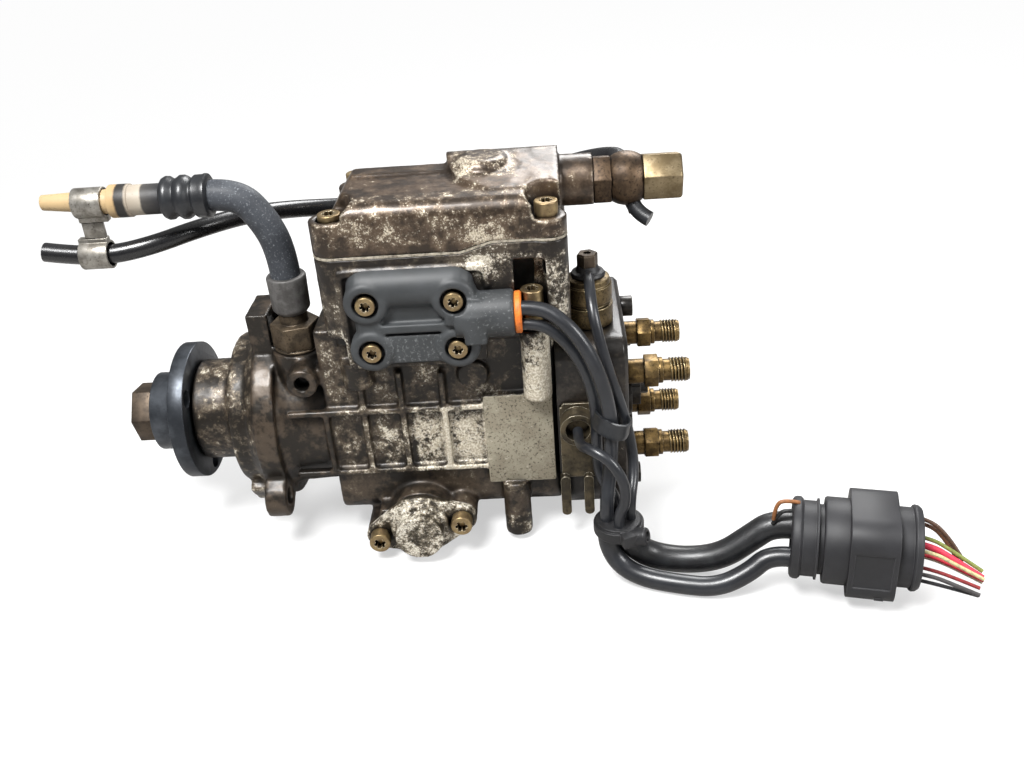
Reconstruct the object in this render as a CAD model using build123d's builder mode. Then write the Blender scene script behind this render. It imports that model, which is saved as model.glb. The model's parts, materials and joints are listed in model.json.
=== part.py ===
# Distributor-type diesel injection pump with its electric quantity adjuster, hoses and harness.
# Millimetres. X runs along the drive shaft towards the outlets, Y away from the harness side, Z up.
# The origin is on the shaft axis, in the mounting face of the flange.
import os
from math import cos, pi, radians, sin, tan

from build123d import *

# Ground that the pump and its loose harness stand on
floor_level = -58

# Running and assembly clearances
running_gap = 0.05
seat_gap = 0.1

# Mounting flange, neck and cone
flange_thickness = 10
waist_front = 15
flange_radius = 44
lug_pcd = 96
lug_count = 3
lug_start = 96
lug_radius = 10
lug_hole = 8.5
neck_radius = 25
neck_front = -35
cone_front = -18

# Pump body
body_front = 34
body_end = 141
body_half_width = 36
body_top = 57
body_bottom = -44
body_corner = 12
waist_radius = 37
chamber_radius = 32
chamber_front = 20
rib_height = 4
rib_width = 2.6
rib_face = body_half_width + rib_height
rib_stations = (34, 52, 70, 89.5)
rib_level = 16.5

# Drive shaft, hub and their fastening
shaft_radius = 10
shaft_nose_radius = 8.2
thread_radius = 6.9
shaft_front = -67
taper_front = -57
taper_back = -31.5
drum_front = 46
drum_end = 55.9
drum_radius = 13
hub_radius = 34
hub_front = -43.5
hub_back = -36
hub_boss_radius = 19.5
hub_boss_front = -58
hub_rear_boss_radius = 15
hub_hole_pcd = 56
hub_hole_count = 3
hub_hole_start = -100
hub_hole_radius = 4.2
nut_front = -69.5
nut_across_flats = 26
key_width = 4
key_radius = 6.5
key_place = -46
seal_radius = 15
seal_front = -34
seal_back = -27
bush_radius = 13
bush_back = 13

# Supply pump
supply_front = 24
supply_back = 42
supply_bore = chamber_radius - 8
supply_offset = 2.5
supply_rotor_radius = supply_bore - supply_offset - 0.2
vane_width = 3
vane_count = 4

# Coupling, cam plate and roller ring
coupling_front = 56
coupling_back = 66
coupling_radius = 12.8
claw_width = 8
ring_front = 66.5
ring_back = 80
ring_bore = chamber_radius - 18
roller_radius = 6
roller_place = 78
roller_inner = ring_bore + 2
roller_outer = chamber_radius - 6
roller_count = 4
roller_start = 45
roller_pin_radius = 1.7
lobe_height = 1.9
lobe_half_width = 6.5
cam_front = 86
cam_back = 95
cam_radius = chamber_radius - 5.5
cam_hub_radius = 12.5

# Plunger, its springs and the control collar
plunger_radius = 5
plunger_end = 164
plunger_foot_radius = 9
plunger_foot_length = 5
bridge_thickness = 3
bridge_gap = 0.3
spring_offset = 19
spring_radius = 4.4
spring_wire = 0.9
collar_front = 112
collar_length = 8
collar_radius = 10
collar_travel = 2.5

# Timing device
timing_x = 73.4
timing_z = -chamber_radius - 10
timing_bore = 9.5
timing_case_radius = 16
timing_face = body_half_width + 10
timing_travel = 6.6
piston_front = -22
piston_back = 12
timing_pin_radius = 3
cover_plate = 4
dome_radius = 14.5
dome_height = 4
cap_radius = 11.3
cap_height = 6
timing_screws = ((53.4, -47), (93.2, -39))
timing_ear_radius = 7

# Distributor head and outlets
head_end = 174
head_half_width = body_half_width + 4
head_bottom = -46
head_top = 45.5
barrel_front = 124
barrel_radius = 13
outlet_offset = 20
outlet_body_radius = 5.8
outlet_hex = 13.5
outlet_thread_radius = 6
outlet_end = 203.5
outlet_bore = 3.4
valve_radius = 3.3
valve_travel = 1
head_screw_places = ((15, 37.4), (-25, -33.6), (25, -33.6), (32, 12))
plug_radius = 13.5

# Quantity adjuster housing, gasket and cover
upper_left = 45
upper_right = 147
upper_half_width = body_half_width + 9
upper_wall = 6
upper_floor = 4
upper_corner = 7
part_low = 94
part_high = 98
part_rise = (104, 118)
gasket_thickness = 1
left_boss = (50, upper_half_width - 9)
left_boss_radius = 9.2
left_boss_top = 110
right_boss = (141, upper_half_width - 7)
back_boss_top = 100
cover_top = 117.2
cover_rounding = 7
cover_dome_radius = 12
cover_dome_place = (114, -8)
right_boss_radius = 8.5
right_boss_top = 107
side_screw = (133, -body_half_width - 6)
side_screw_seat = 61
return_axis_z = 107.5
return_boss_radius = 12
return_boss_end = 162

# Adjuster works
rotor_x = 116
rotor_shaft_radius = 3
rotor_radius = 9
rotor_bottom = 66
rotor_height = 16
stator_bottom = 65
stator_height = 18
stator_left = 74
stator_right = 134
stator_half_width = 18
pin_offset = 2.5
pin_radius = 1.5
pin_rest_angle = -30

# Socket screws, by thread size
m6_head = (5, 6)
m6_shank = 3
m5_head = (4.2, 5)
m5_shank = 2.5


def facing_outlets(x):
    return Plane(origin=(x, 0, 0), x_dir=(0, 1, 0), z_dir=(1, 0, 0))


def facing_front(y):
    return Plane(origin=(0, y, 0), x_dir=(1, 0, 0), z_dir=(0, -1, 0))


def turned(points, origin=(0, 0, 0), along=(1, 0, 0), mode=Mode.ADD):
    # A profile of (distance along the axis, radius) pairs turned about that axis
    side = Plane(origin=origin, z_dir=along).x_dir
    with BuildSketch(Plane(origin=origin, x_dir=along, z_dir=side)) as profile:
        with BuildLine():
            Polyline(*points, close=True)
        make_face()
    revolve(profile.sketch, Axis(origin, along), mode=mode)


def rod(start, end, radius, origin=(0, 0, 0), along=(1, 0, 0), mode=Mode.ADD):
    base = Plane(origin=Vector(*origin) + Vector(*along) * start, z_dir=along)
    with BuildSketch(base) as disc:
        Circle(radius)
    extrude(disc.sketch, end - start, mode=mode)


def hexagon_bar(start, end, across_flats, origin, along, turn=0):
    base = Plane(origin=Vector(*origin) + Vector(*along) * start, z_dir=along)
    with BuildSketch(base) as section:
        RegularPolygon(across_flats / 2, 6, major_radius=False, rotation=turn)
    extrude(section.sketch, end - start)


def block(x, y, z, mode=Mode.ADD):
    # A box given by its lowest and highest X, Y and Z
    with BuildSketch(Plane.XY.offset(z[0])) as base:
        with Locations(((x[0] + x[1]) / 2, (y[0] + y[1]) / 2)):
            Rectangle(x[1] - x[0], y[1] - y[0])
    extrude(base.sketch, z[1] - z[0], mode=mode)


def socket_screw(seat, direction, head, shank_radius, length):
    # Cylinder head with a six-sided socket; the seat is the plane under the head
    head_radius, head_height = head
    with BuildPart() as screw:
        rod(0, head_height, head_radius, seat, direction)
        rod(-length, 0, shank_radius, seat, direction)
        socket = Plane(origin=Vector(*seat) + Vector(*direction) * head_height, z_dir=direction)
        with BuildSketch(socket) as recess:
            RegularPolygon(head_radius * 0.5, 6)
        extrude(recess.sketch, -head_height * 0.55, mode=Mode.SUBTRACT)
    return screw.part


def coil_spring(start, end, radius, wire_radius, turns, origin=(0, 0, 0), along=(1, 0, 0)):
    # Wire with flat-sided turns, which keeps the face count low
    steps = 8
    place = Plane(origin=origin, z_dir=along)
    count = int(turns * steps)
    points = []
    for i in range(count + 1):
        angle = 2 * pi * i / steps
        height = start + (end - start) * i / count
        points.append(place.from_local_coords(Vector(radius * cos(angle), radius * sin(angle), height)))
    with BuildPart() as spring:
        with BuildLine() as wire:
            Polyline(*points)
        with BuildSketch(Plane(origin=wire.line @ 0, z_dir=wire.line % 0)):
            RegularPolygon(wire_radius, 6)
        sweep(path=wire.line, transition=Transition.RIGHT)
    return spring.part


def bend_radii(points):
    # Each bend is as large as its two runs allow
    radii = []
    for before, at, after in zip(points, points[1:], points[2:]):
        run_in = Vector(*at) - Vector(*before)
        run_out = Vector(*after) - Vector(*at)
        turn = radians(run_in.get_angle(run_out))
        radii.append(0.45 * min(run_in.length, run_out.length) / tan(turn / 2))
    return radii


def cord(name, points, radius):
    radii = bend_radii(points)
    with BuildPart() as tube:
        with BuildLine() as path:
            FilletPolyline(*points, radius=radii)
        with BuildSketch(Plane(origin=path.line @ 0, z_dir=path.line % 0)):
            Circle(radius)
        sweep(path=path.line)
    length = sum(edge.length for edge in path.line.edges())
    share = tube.part.volume / (pi * radius**2 * length)
    print(name, "length", round(length, 1), "bends", [round(r, 1) for r in radii], "volume", round(share, 4))
    return tube.part


def save(part, name):
    part.label = name
    export_step(part, f"parts/{name}.step")


def save_group(parts, name):
    save(Compound(children=parts), name)


os.makedirs("parts", exist_ok=True)

# Places of the fasteners, used by the pieces that they join
cover_screw_places = [
    (left_boss[0], -left_boss[1]),
    (left_boss[0], left_boss[1]),
    (right_boss[0], -right_boss[1]),
    (right_boss[0], right_boss[1]),
]
plug_screw_places = ((62.8, 76.1), (100.2, 76.1), (62.8, 53.7), (100.2, 53.7))
plug_screw_length = 8
inlet_place = (22, -18)
shutoff_place = (158, -15)

# Pump housing: flange, cone and neck, body with ribs, and the cross bore of the timing device
with BuildPart() as pump_housing:
    with BuildSketch(facing_outlets(0)) as flange_outline:
        Circle(flange_radius)
        with PolarLocations(0, lug_count, lug_start):
            Rectangle(lug_pcd / 2, 2 * lug_radius, align=(Align.MIN, Align.CENTER))
        with PolarLocations(lug_pcd / 2, lug_count, lug_start):
            Circle(lug_radius)
    extrude(amount=flange_thickness)
    block((0, flange_thickness), (-20, 4), (40, 59))
    block((0, waist_front), (-5.5, 4), (30, 59))
    turned(
        [
            (neck_front, 0),
            (neck_front, neck_radius),
            (cone_front, neck_radius),
            (0, flange_radius - 1),
            (waist_front, waist_radius + 1),
            (body_front + 4, waist_radius),
            (body_front + 4, 0),
        ]
    )
    with BuildSketch(facing_outlets(body_front)) as body_section:
        with Locations((0, (body_top + body_bottom) / 2)):
            Rectangle(2 * body_half_width, body_top - body_bottom)
        fillet(body_section.vertices().group_by(Axis.Y)[0], body_corner)
    extrude(amount=body_end - body_front)
    block((upper_left, body_end), (-body_half_width - 2, upper_half_width - 1), (50, body_top))
    with BuildSketch(facing_front(timing_face)):
        with Locations((timing_x, timing_z)):
            Circle(timing_case_radius)
        with Locations(*timing_screws):
            Circle(timing_ear_radius)
        with Locations(((timing_screws[0][0] + timing_screws[1][0]) / 2, timing_z)):
            Rectangle(timing_screws[1][0] - timing_screws[0][0], 2 * timing_ear_radius)
    extrude(amount=2 * timing_face)
    with BuildSketch(facing_front(-body_half_width)) as front_ribs:
        for station in rib_stations:
            with Locations((station, 0)):
                Rectangle(rib_width, 2 * rib_level, align=(Align.CENTER, Align.CENTER))
        for station, top in zip(rib_stations[1:], (30, 36.5, 35.5)):
            with Locations((station, 0)):
                Rectangle(rib_width, top, align=(Align.CENTER, Align.MIN))
        for level in (-rib_level, rib_level):
            with Locations((waist_front + 1, level)):
                Rectangle(92, rib_width, align=(Align.MIN, Align.CENTER))
        with Locations((123.25, -1.5)):
            Rectangle(31.5, 47)
        with Locations((104, 33)):
            Circle(7)
    extrude(amount=rib_height)
    rod(-55, -25, 6.5, (119.6, -body_half_width - 2, 0), (0, 0, 1))
    rod(22, body_top, 6.5, (side_screw[0], side_screw[1], 0), (0, 0, 1))
    rod(30, 43, 7, (52, -body_half_width - 1, 0), (0, 0, 1))
    rod(20, 42, 7, (26.4, 0, 33.8), (0, -1, 0))
    rod(15, 42, 12.5, (inlet_place[0], inlet_place[1], 0), (0, 0, 1))
    bore_steps = [
        (neck_front - 1, 0),
        (neck_front - 1, seal_radius),
        (seal_back, seal_radius),
        (seal_back, bush_radius),
        (bush_back, bush_radius),
        (bush_back, shaft_radius + 1),
        (chamber_front, shaft_radius + 1),
        (chamber_front, chamber_radius),
        (body_end + 1, chamber_radius),
        (body_end + 1, 0),
    ]
    turned(bore_steps, mode=Mode.SUBTRACT)
    rod(-timing_face - 1, timing_face + 1, timing_bore, (timing_x, 0, timing_z), (0, 1, 0), Mode.SUBTRACT)
    pin_room = timing_pin_radius + 0.4
    pin_swing = timing_travel + timing_pin_radius + 1
    block((timing_x - pin_room, timing_x + pin_room), (-pin_swing, pin_swing), (-34, -29), Mode.SUBTRACT)
    block((100, 132), (-17, 17), (20, body_top + 1), Mode.SUBTRACT)
    with BuildSketch(facing_outlets(-1)):
        with PolarLocations(lug_pcd / 2, lug_count, lug_start):
            Circle(lug_hole / 2)
    extrude(amount=waist_front + 2, mode=Mode.SUBTRACT)
    for x, z in timing_screws:
        rod(timing_face - 12, timing_face + 1, m6_shank, (x, 0, z), (0, -1, 0), Mode.SUBTRACT)
        rod(timing_face - 12, timing_face + 1, m6_shank, (x, 0, z), (0, 1, 0), Mode.SUBTRACT)
    for y, z in head_screw_places:
        rod(body_end - 14, body_end + 1, m6_shank, (0, y, z), (1, 0, 0), Mode.SUBTRACT)
    rod(body_top - 14, body_top + 1, m6_shank, (*side_screw, 0), (0, 0, 1), Mode.SUBTRACT)
    rod(20, 43, 4, (*inlet_place, 0), (0, 0, 1), Mode.SUBTRACT)
    rod(34, 43, 3.5, (26.4, 0, 33.8), (0, -1, 0), Mode.SUBTRACT)
save(pump_housing.part, "pump_housing")

# Shaft seal and bush, pressed into the neck
with BuildPart() as shaft_seal:
    rod(seal_front, seal_back, seal_radius)
    rod(seal_front, seal_back, shaft_radius + running_gap, mode=Mode.SUBTRACT)
with BuildPart() as shaft_bush:
    rod(seal_back, bush_back, bush_radius)
    rod(seal_back, bush_back, shaft_radius + running_gap, mode=Mode.SUBTRACT)
save_group([shaft_seal.part, shaft_bush.part], "shaft_seal_and_bush")

# Drive shaft with its taper, thread and coupling claws
with BuildPart() as drive_shaft:
    turned(
        [
            (shaft_front, 0),
            (shaft_front, thread_radius),
            (taper_front, thread_radius),
            (taper_front, shaft_nose_radius),
            (taper_back, shaft_radius),
            (drum_front, shaft_radius),
            (drum_front, drum_radius),
            (drum_end, drum_radius),
            (drum_end, 0),
        ]
    )
    block(
        (drum_end, coupling_front + 4.9),
        (-drum_radius + 1.5, drum_radius - 1.5),
        (-claw_width / 2, claw_width / 2),
    )
    with BuildSketch(facing_front(key_width / 2 + seat_gap)):
        with Locations((key_place, 10.5)):
            Circle(key_radius + seat_gap)
    extrude(amount=key_width + 2 * seat_gap, mode=Mode.SUBTRACT)
save(drive_shaft.part, "drive_shaft")

# Hub disc with its boss and three tapped holes, on the shaft's taper
with BuildPart() as hub:
    turned(
        [
            (hub_boss_front, 0),
            (hub_boss_front, hub_boss_radius),
            (hub_front, hub_boss_radius),
            (hub_front, hub_radius),
            (hub_back, hub_radius),
            (hub_back, hub_rear_boss_radius),
            (neck_front - 0.5, hub_rear_boss_radius),
            (neck_front - 0.5, 0),
        ]
    )
    slope = (shaft_radius - shaft_nose_radius) / (taper_back - taper_front)
    nose = hub_boss_front - 1
    turned(
        [
            (nose, 0),
            (nose, shaft_nose_radius + slope * (nose - taper_front) + 0.03),
            (taper_back, shaft_radius + 0.03),
            (taper_back, 0),
        ],
        mode=Mode.SUBTRACT,
    )
    with BuildSketch(facing_outlets(hub_front - 1)):
        with PolarLocations(hub_hole_pcd / 2, hub_hole_count, hub_hole_start):
            Circle(hub_hole_radius)
    extrude(amount=hub_back - hub_front + 2, mode=Mode.SUBTRACT)
    key_half = key_width / 2 + seat_gap
    block((hub_boss_front - 1, hub_back + 2), (-key_half, key_half), (5, 11.6), Mode.SUBTRACT)
save(hub.part, "hub")

# Hub nut and the half-round key
with BuildPart() as hub_nut:
    hexagon_bar(nut_front, hub_boss_front, nut_across_flats, (0, 0, 0), (1, 0, 0), 20)
    rod(nut_front - 1, hub_boss_front + 1, thread_radius + 0.02, mode=Mode.SUBTRACT)
with BuildPart() as woodruff_key:
    with BuildSketch(facing_front(key_width / 2)):
        with Locations((key_place, 10.5)):
            Circle(key_radius)
    extrude(amount=key_width)
    block((key_place - 10, key_place + 10), (-5, 5), (11.5, 20), Mode.SUBTRACT)
save_group([hub_nut.part, woodruff_key.part], "hub_nut_and_key")

# Supply pump: eccentric ring fixed in the chamber, rotor with four vanes on the shaft
with BuildPart() as supply_ring:
    rod(supply_front, supply_back, chamber_radius)
    rod(supply_front, supply_back, supply_bore, (0, 0, supply_offset), mode=Mode.SUBTRACT)
with BuildPart() as supply_plate:
    rod(supply_back, supply_back + 3, chamber_radius)
    rod(supply_back, supply_back + 3, shaft_radius + 1, mode=Mode.SUBTRACT)
save_group([supply_ring.part, supply_plate.part], "supply_ring")
with BuildPart() as supply_rotor:
    rod(supply_front + 0.2, supply_back - 0.2, supply_rotor_radius - 0.3)
    rod(supply_front, supply_back, shaft_radius + 0.02, mode=Mode.SUBTRACT)
    with BuildSketch(facing_outlets(supply_front)):
        with PolarLocations(supply_rotor_radius - 8, vane_count):
            Rectangle(20, vane_width, align=(Align.MIN, Align.CENTER))
    extrude(amount=supply_back - supply_front, mode=Mode.SUBTRACT)
with BuildPart() as vane:
    with BuildSketch(facing_outlets(supply_front + 0.2)):
        with PolarLocations(supply_rotor_radius - 8, vane_count):
            Rectangle(8, vane_width, align=(Align.MIN, Align.CENTER))
    extrude(amount=supply_back - supply_front - 0.4)
save_group([supply_rotor.part, *vane.part.solids()], "supply_rotor")

# Coupling disc between the shaft's claws and those of the cam plate
with BuildPart() as coupling_disc:
    rod(coupling_front, coupling_back, coupling_radius)
    claw_half = claw_width / 2 + seat_gap
    middle = (coupling_front + coupling_back) / 2
    block((coupling_front - 1, middle), (-20, 20), (-claw_half, claw_half), Mode.SUBTRACT)
    block((middle, coupling_back + 1), (-claw_half, claw_half), (-20, 20), Mode.SUBTRACT)
    rod(coupling_front, coupling_back, 3, mode=Mode.SUBTRACT)
save(coupling_disc.part, "coupling_disc")

# Cam plate: four lobes that face the rollers, a hub with two claws and a flat back
with BuildPart() as cam_plate:
    rod(cam_front, cam_back, cam_radius)
    rod(coupling_back + seat_gap, cam_front, cam_hub_radius)
    block(
        (middle + seat_gap, coupling_back + seat_gap),
        (-claw_width / 2, claw_width / 2),
        (-cam_hub_radius + 1.5, cam_hub_radius - 1.5),
    )
    for i in range(roller_count):
        angle = radians(roller_start + 360 * i / roller_count)
        outward = (0, cos(angle), sin(angle))
        start = Vector(*outward) * (roller_inner - 1)
        with BuildSketch(Plane(origin=start, x_dir=(1, 0, 0), z_dir=outward)) as lobe:
            with BuildLine():
                ThreePointArc(
                    (cam_front, -lobe_half_width),
                    (cam_front - lobe_height, 0),
                    (cam_front, lobe_half_width),
                )
                Polyline(
                    (cam_front, lobe_half_width),
                    (cam_front + 1, lobe_half_width),
                    (cam_front + 1, -lobe_half_width),
                    (cam_front, -lobe_half_width),
                )
            make_face()
        extrude(lobe.sketch, roller_outer - roller_inner)
save(cam_plate.part, "cam_plate")

# Distributor plunger with its foot
with BuildPart() as plunger:
    rod(cam_back, cam_back + plunger_foot_length, plunger_foot_radius)
    rod(cam_back, plunger_end, plunger_radius)
    rod(150, plunger_end + 1, 1.2, mode=Mode.SUBTRACT)
    rod(-6, 6, 1, (116.5, 0, 0), (0, 1, 0), Mode.SUBTRACT)
save(plunger.part, "plunger")

# Spring bridge over the plunger's foot, with two springs that bear on the head
bridge_front = cam_back + plunger_foot_length + bridge_gap
bridge_back = bridge_front + bridge_thickness
with BuildPart() as spring_bridge:
    with BuildSketch(facing_outlets(bridge_front)):
        SlotCenterToCenter(2 * spring_offset, 12)
        Circle(plunger_radius + 1.2, mode=Mode.SUBTRACT)
    extrude(amount=bridge_thickness)
plunger_springs = [spring_bridge.part]
for side in (-1, 1):
    plunger_springs.append(
        coil_spring(
            bridge_back + spring_wire,
            body_end - spring_wire,
            spring_radius,
            spring_wire,
            7,
            (0, side * spring_offset, 0),
        )
    )
save_group(plunger_springs, "plunger_springs")

# Roller ring with its four roller pins and the pin that the timing piston turns it by
roller_angles = [roller_start + 360 * i / roller_count for i in range(roller_count)]
with BuildPart() as roller_ring:
    rod(ring_front, ring_back, chamber_radius - running_gap)
    rod(ring_front, ring_back, ring_bore, mode=Mode.SUBTRACT)
    for angle in roller_angles:
        outward = (0, cos(radians(angle)), sin(radians(angle)))
        rod(
            roller_inner - 0.3,
            roller_outer + 0.3,
            roller_radius + 0.3,
            (roller_place, 0, 0),
            outward,
            Mode.SUBTRACT,
        )
        rod(0, chamber_radius - 1, roller_pin_radius, (roller_place, 0, 0), outward, Mode.SUBTRACT)
    rod(20, 40, timing_pin_radius, (timing_x, 0, 0), (0, 0, -1), Mode.SUBTRACT)
ring_pieces = [roller_ring.part]
for angle in roller_angles:
    outward = (0, cos(radians(angle)), sin(radians(angle)))
    with BuildPart() as roller_pin:
        rod(ring_bore, chamber_radius - 1, roller_pin_radius, (roller_place, 0, 0), outward)
    ring_pieces.append(roller_pin.part)
with BuildPart() as timing_pin:
    rod(20, -timing_z + 4, timing_pin_radius, (timing_x, 0, 0), (0, 0, -1))
ring_pieces.append(timing_pin.part)
save_group(ring_pieces, "roller_ring")

for i, angle in enumerate(roller_angles):
    outward = (0, cos(radians(angle)), sin(radians(angle)))
    with BuildPart() as roller:
        rod(roller_inner, roller_outer, roller_radius, (roller_place, 0, 0), outward)
        bore = roller_pin_radius + running_gap
        rod(0, roller_outer + 1, bore, (roller_place, 0, 0), outward, Mode.SUBTRACT)
    save(roller.part, f"roller_{i + 1}")

# Timing piston across the body, with the slot for the pin, and its spring
with BuildPart() as timing_piston:
    rod(piston_front, piston_back, timing_bore - running_gap, (timing_x, 0, timing_z), (0, 1, 0))
    slot_half = timing_pin_radius + 0.1
    block((timing_x - slot_half, timing_x + slot_half), (-5.4, 5.4), (-39, -30), Mode.SUBTRACT)
    rod(-timing_z - 4, -timing_z + 5, slot_half + 0.7, (timing_x, 0, 0), (0, 0, -1), Mode.SUBTRACT)
    rod(piston_back - 5, piston_back + 1, 6.5, (timing_x, 0, timing_z), (0, 1, 0), Mode.SUBTRACT)
save(timing_piston.part, "timing_piston")
timing_spring = coil_spring(
    piston_back - 5 + 1, timing_face - 1, 5.2, 0.9, 6, (timing_x, 0, timing_z), (0, 1, 0)
)
save(timing_spring, "timing_spring")

# Timing device covers: the front one has a dome and a cap, the rear one is plain
with BuildPart() as front_cover:
    with BuildSketch(facing_front(-timing_face)):
        with Locations((timing_x, timing_z)):
            Circle(timing_case_radius)
        with Locations(*timing_screws):
            Circle(timing_ear_radius)
        make_hull()
    extrude(amount=cover_plate)
    plate_face = timing_face + cover_plate
    rod(timing_face, plate_face + dome_height, dome_radius, (timing_x, 0, timing_z), (0, -1, 0))
    fillet(front_cover.faces().sort_by(Axis.Y)[0].outer_wire().edges(), 2.5)
    cap_end = plate_face + dome_height + cap_height
    rod(timing_face, cap_end, cap_radius, (timing_x, 0, timing_z), (0, -1, 0))
    rod(timing_face, plate_face, 7, (timing_x, 0, timing_z), (0, -1, 0), Mode.SUBTRACT)
    for x, z in timing_screws:
        rod(timing_face, plate_face + 9, m6_head[0] + 0.8, (x, 0, z), (0, -1, 0), Mode.SUBTRACT)
        rod(timing_face, plate_face, timing_ear_radius, (x, 0, z), (0, -1, 0))
        rod(timing_face - 1, plate_face + 1, m6_shank + 0.1, (x, 0, z), (0, -1, 0), Mode.SUBTRACT)
with BuildPart() as rear_cover:
    with BuildSketch(facing_front(timing_face + cover_plate)):
        with Locations((timing_x, timing_z)):
            Circle(timing_case_radius)
        with Locations(*timing_screws):
            Circle(timing_ear_radius)
        make_hull()
    extrude(amount=cover_plate)
    for x, z in timing_screws:
        rod(timing_face - 1, plate_face + 1, m6_shank + 0.1, (x, 0, z), (0, 1, 0), Mode.SUBTRACT)
save_group([front_cover.part, rear_cover.part], "timing_covers")

# Control collar on the plunger, with the pocket for the adjuster's pin
pocket_x = rotor_x + pin_offset * sin(radians(pin_rest_angle))
with BuildPart() as control_collar:
    rod(collar_front, collar_front + collar_length, collar_radius)
    rod(collar_front, collar_front + collar_length, plunger_radius + running_gap, mode=Mode.SUBTRACT)
    pocket_half = pin_radius + 0.12
    block((pocket_x - pocket_half, pocket_x + pocket_half), (-0.5, 4.8), (6, 12), Mode.SUBTRACT)
save(control_collar.part, "control_collar")

# Distributor head: flange block with the barrel, the seat of the shut-off valve and outlet bores
outlet_places = [
    (outlet_offset, outlet_offset),
    (-outlet_offset, outlet_offset),
    (outlet_offset, -outlet_offset),
    (-outlet_offset, -outlet_offset),
]
with BuildPart() as distributor_head:
    with BuildSketch(facing_outlets(body_end)) as head_section:
        with Locations((0, (head_bottom + head_top) / 2)):
            Rectangle(2 * head_half_width, head_top - head_bottom)
        fillet(head_section.vertices().group_by(Axis.Y)[0], 16)
        fillet(head_section.vertices().group_by(Axis.Y)[-1], 9)
    extrude(amount=head_end - body_end)
    chamfer(distributor_head.faces().sort_by(Axis.X)[-1].outer_wire().edges(), 2)
    rod(barrel_front, body_end, barrel_radius)
    rod(barrel_front - 1, head_end - 6, plunger_radius + running_gap, mode=Mode.SUBTRACT)
    rod(head_end - 8, head_end + 1, 8, mode=Mode.SUBTRACT)
    for y, z in outlet_places:
        rod(head_end - 14, head_end + 1, outlet_body_radius, (0, y, z), mode=Mode.SUBTRACT)
    for y, z in head_screw_places:
        rod(body_end - 1, head_end + 1, m6_shank + 0.1, (0, y, z), mode=Mode.SUBTRACT)
    rod(30, head_top + 1, 7, (*shutoff_place, 0), (0, 0, 1), Mode.SUBTRACT)
    rod(18, 31, 2, (*shutoff_place, 0), (0, 0, 1), Mode.SUBTRACT)
save(distributor_head.part, "distributor_head")

# Central screw plug of the head with its bleed screw, and the head's own socket screws
with BuildPart() as head_plug:
    rod(head_end, head_end + 3.5, plug_radius)
    rod(head_end - 6, head_end, 7.9)
    hexagon_bar(head_end + 3.5, head_end + 8, 17, (0, 0, 0), (1, 0, 0))
    rod(head_end + 8, head_end + 12, 3.2)
head_pieces = [head_plug.part]
for y, z in head_screw_places:
    head_pieces.append(socket_screw((head_end, y, z), (1, 0, 0), m6_head, m6_shank, 44))
save_group(head_pieces, "head_plug_and_screws")

# Delivery valve holders: body, hexagon and threaded end, bored for the valve and its spring
holder_start = head_end - 13
holders = []
for y, z in outlet_places:
    with BuildPart() as holder:
        turned(
            [
                (holder_start, 0),
                (holder_start, outlet_body_radius - 0.02),
                (184.5, outlet_body_radius - 0.02),
                (184.5, 5.4),
                (196.5, 5.4),
                (197, outlet_thread_radius),
                (outlet_end, outlet_thread_radius),
                (outlet_end, 0),
            ],
            (0, y, z),
        )
        hexagon_bar(184.3, 191.7, outlet_hex, (0, y, z), (1, 0, 0), 0)
        rod(holder_start - 1, 188, outlet_bore, (0, y, z), mode=Mode.SUBTRACT)
        turned(
            [(187, 0), (187, 1), (outlet_end - 4, 1), (outlet_end + 0.5, 4), (outlet_end + 0.5, 0)],
            (0, y, z),
            mode=Mode.SUBTRACT,
        )
    holders.append(holder.part)
save_group(holders, "delivery_valve_holders")

delivery_springs = []
valve_front = holder_start + 0.1
for i, (y, z) in enumerate(outlet_places):
    with BuildPart() as delivery_valve:
        turned(
            [
                (valve_front, 0),
                (valve_front, valve_radius),
                (valve_front + 7, valve_radius),
                (valve_front + 9, 1.8),
                (valve_front + 12, 1.8),
                (valve_front + 12, 0),
            ],
            (0, y, z),
        )
    save(delivery_valve.part, f"delivery_valve_{i + 1}")
    delivery_springs.append(
        coil_spring(valve_front + 9.3, 187.3, 2.5, 0.5, 5, (0, y, z))
    )
save_group(delivery_springs, "delivery_springs")


def upper_outline():
    # Plan of the adjuster housing, gasket and cover, with the bosses of their screws
    with BuildSketch() as plan:
        with Locations(((upper_left + upper_right) / 2, 0)):
            RectangleRounded(upper_right - upper_left, 2 * upper_half_width, upper_corner)
        with Locations((left_boss[0], left_boss[1]), (left_boss[0], -left_boss[1])):
            Circle(left_boss_radius)
        with Locations((right_boss[0], right_boss[1]), (right_boss[0], -right_boss[1])):
            Circle(right_boss_radius)
    return plan.sketch


def parting_band(lift_low, lift_high):
    # Slab along Y that follows the parting line, which rises towards the outlets
    low = [
        (upper_left - 20, part_low + lift_low),
        (part_rise[0], part_low + lift_low),
        (part_rise[1], part_high + lift_low),
        (upper_right + 40, part_high + lift_low),
    ]
    high = [
        (upper_right + 40, part_high + lift_high),
        (part_rise[1], part_high + lift_high),
        (part_rise[0], part_low + lift_high),
        (upper_left - 20, part_low + lift_high),
    ]
    with BuildSketch(facing_front(80)) as band:
        with BuildLine():
            Polyline(*low, *high, close=True)
        make_face()
    return extrude(band.sketch, 160, mode=Mode.PRIVATE)


far_up = 60
inner_left = upper_left + upper_wall
inner_right = upper_right - upper_wall
inner_half = upper_half_width - upper_wall

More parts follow.
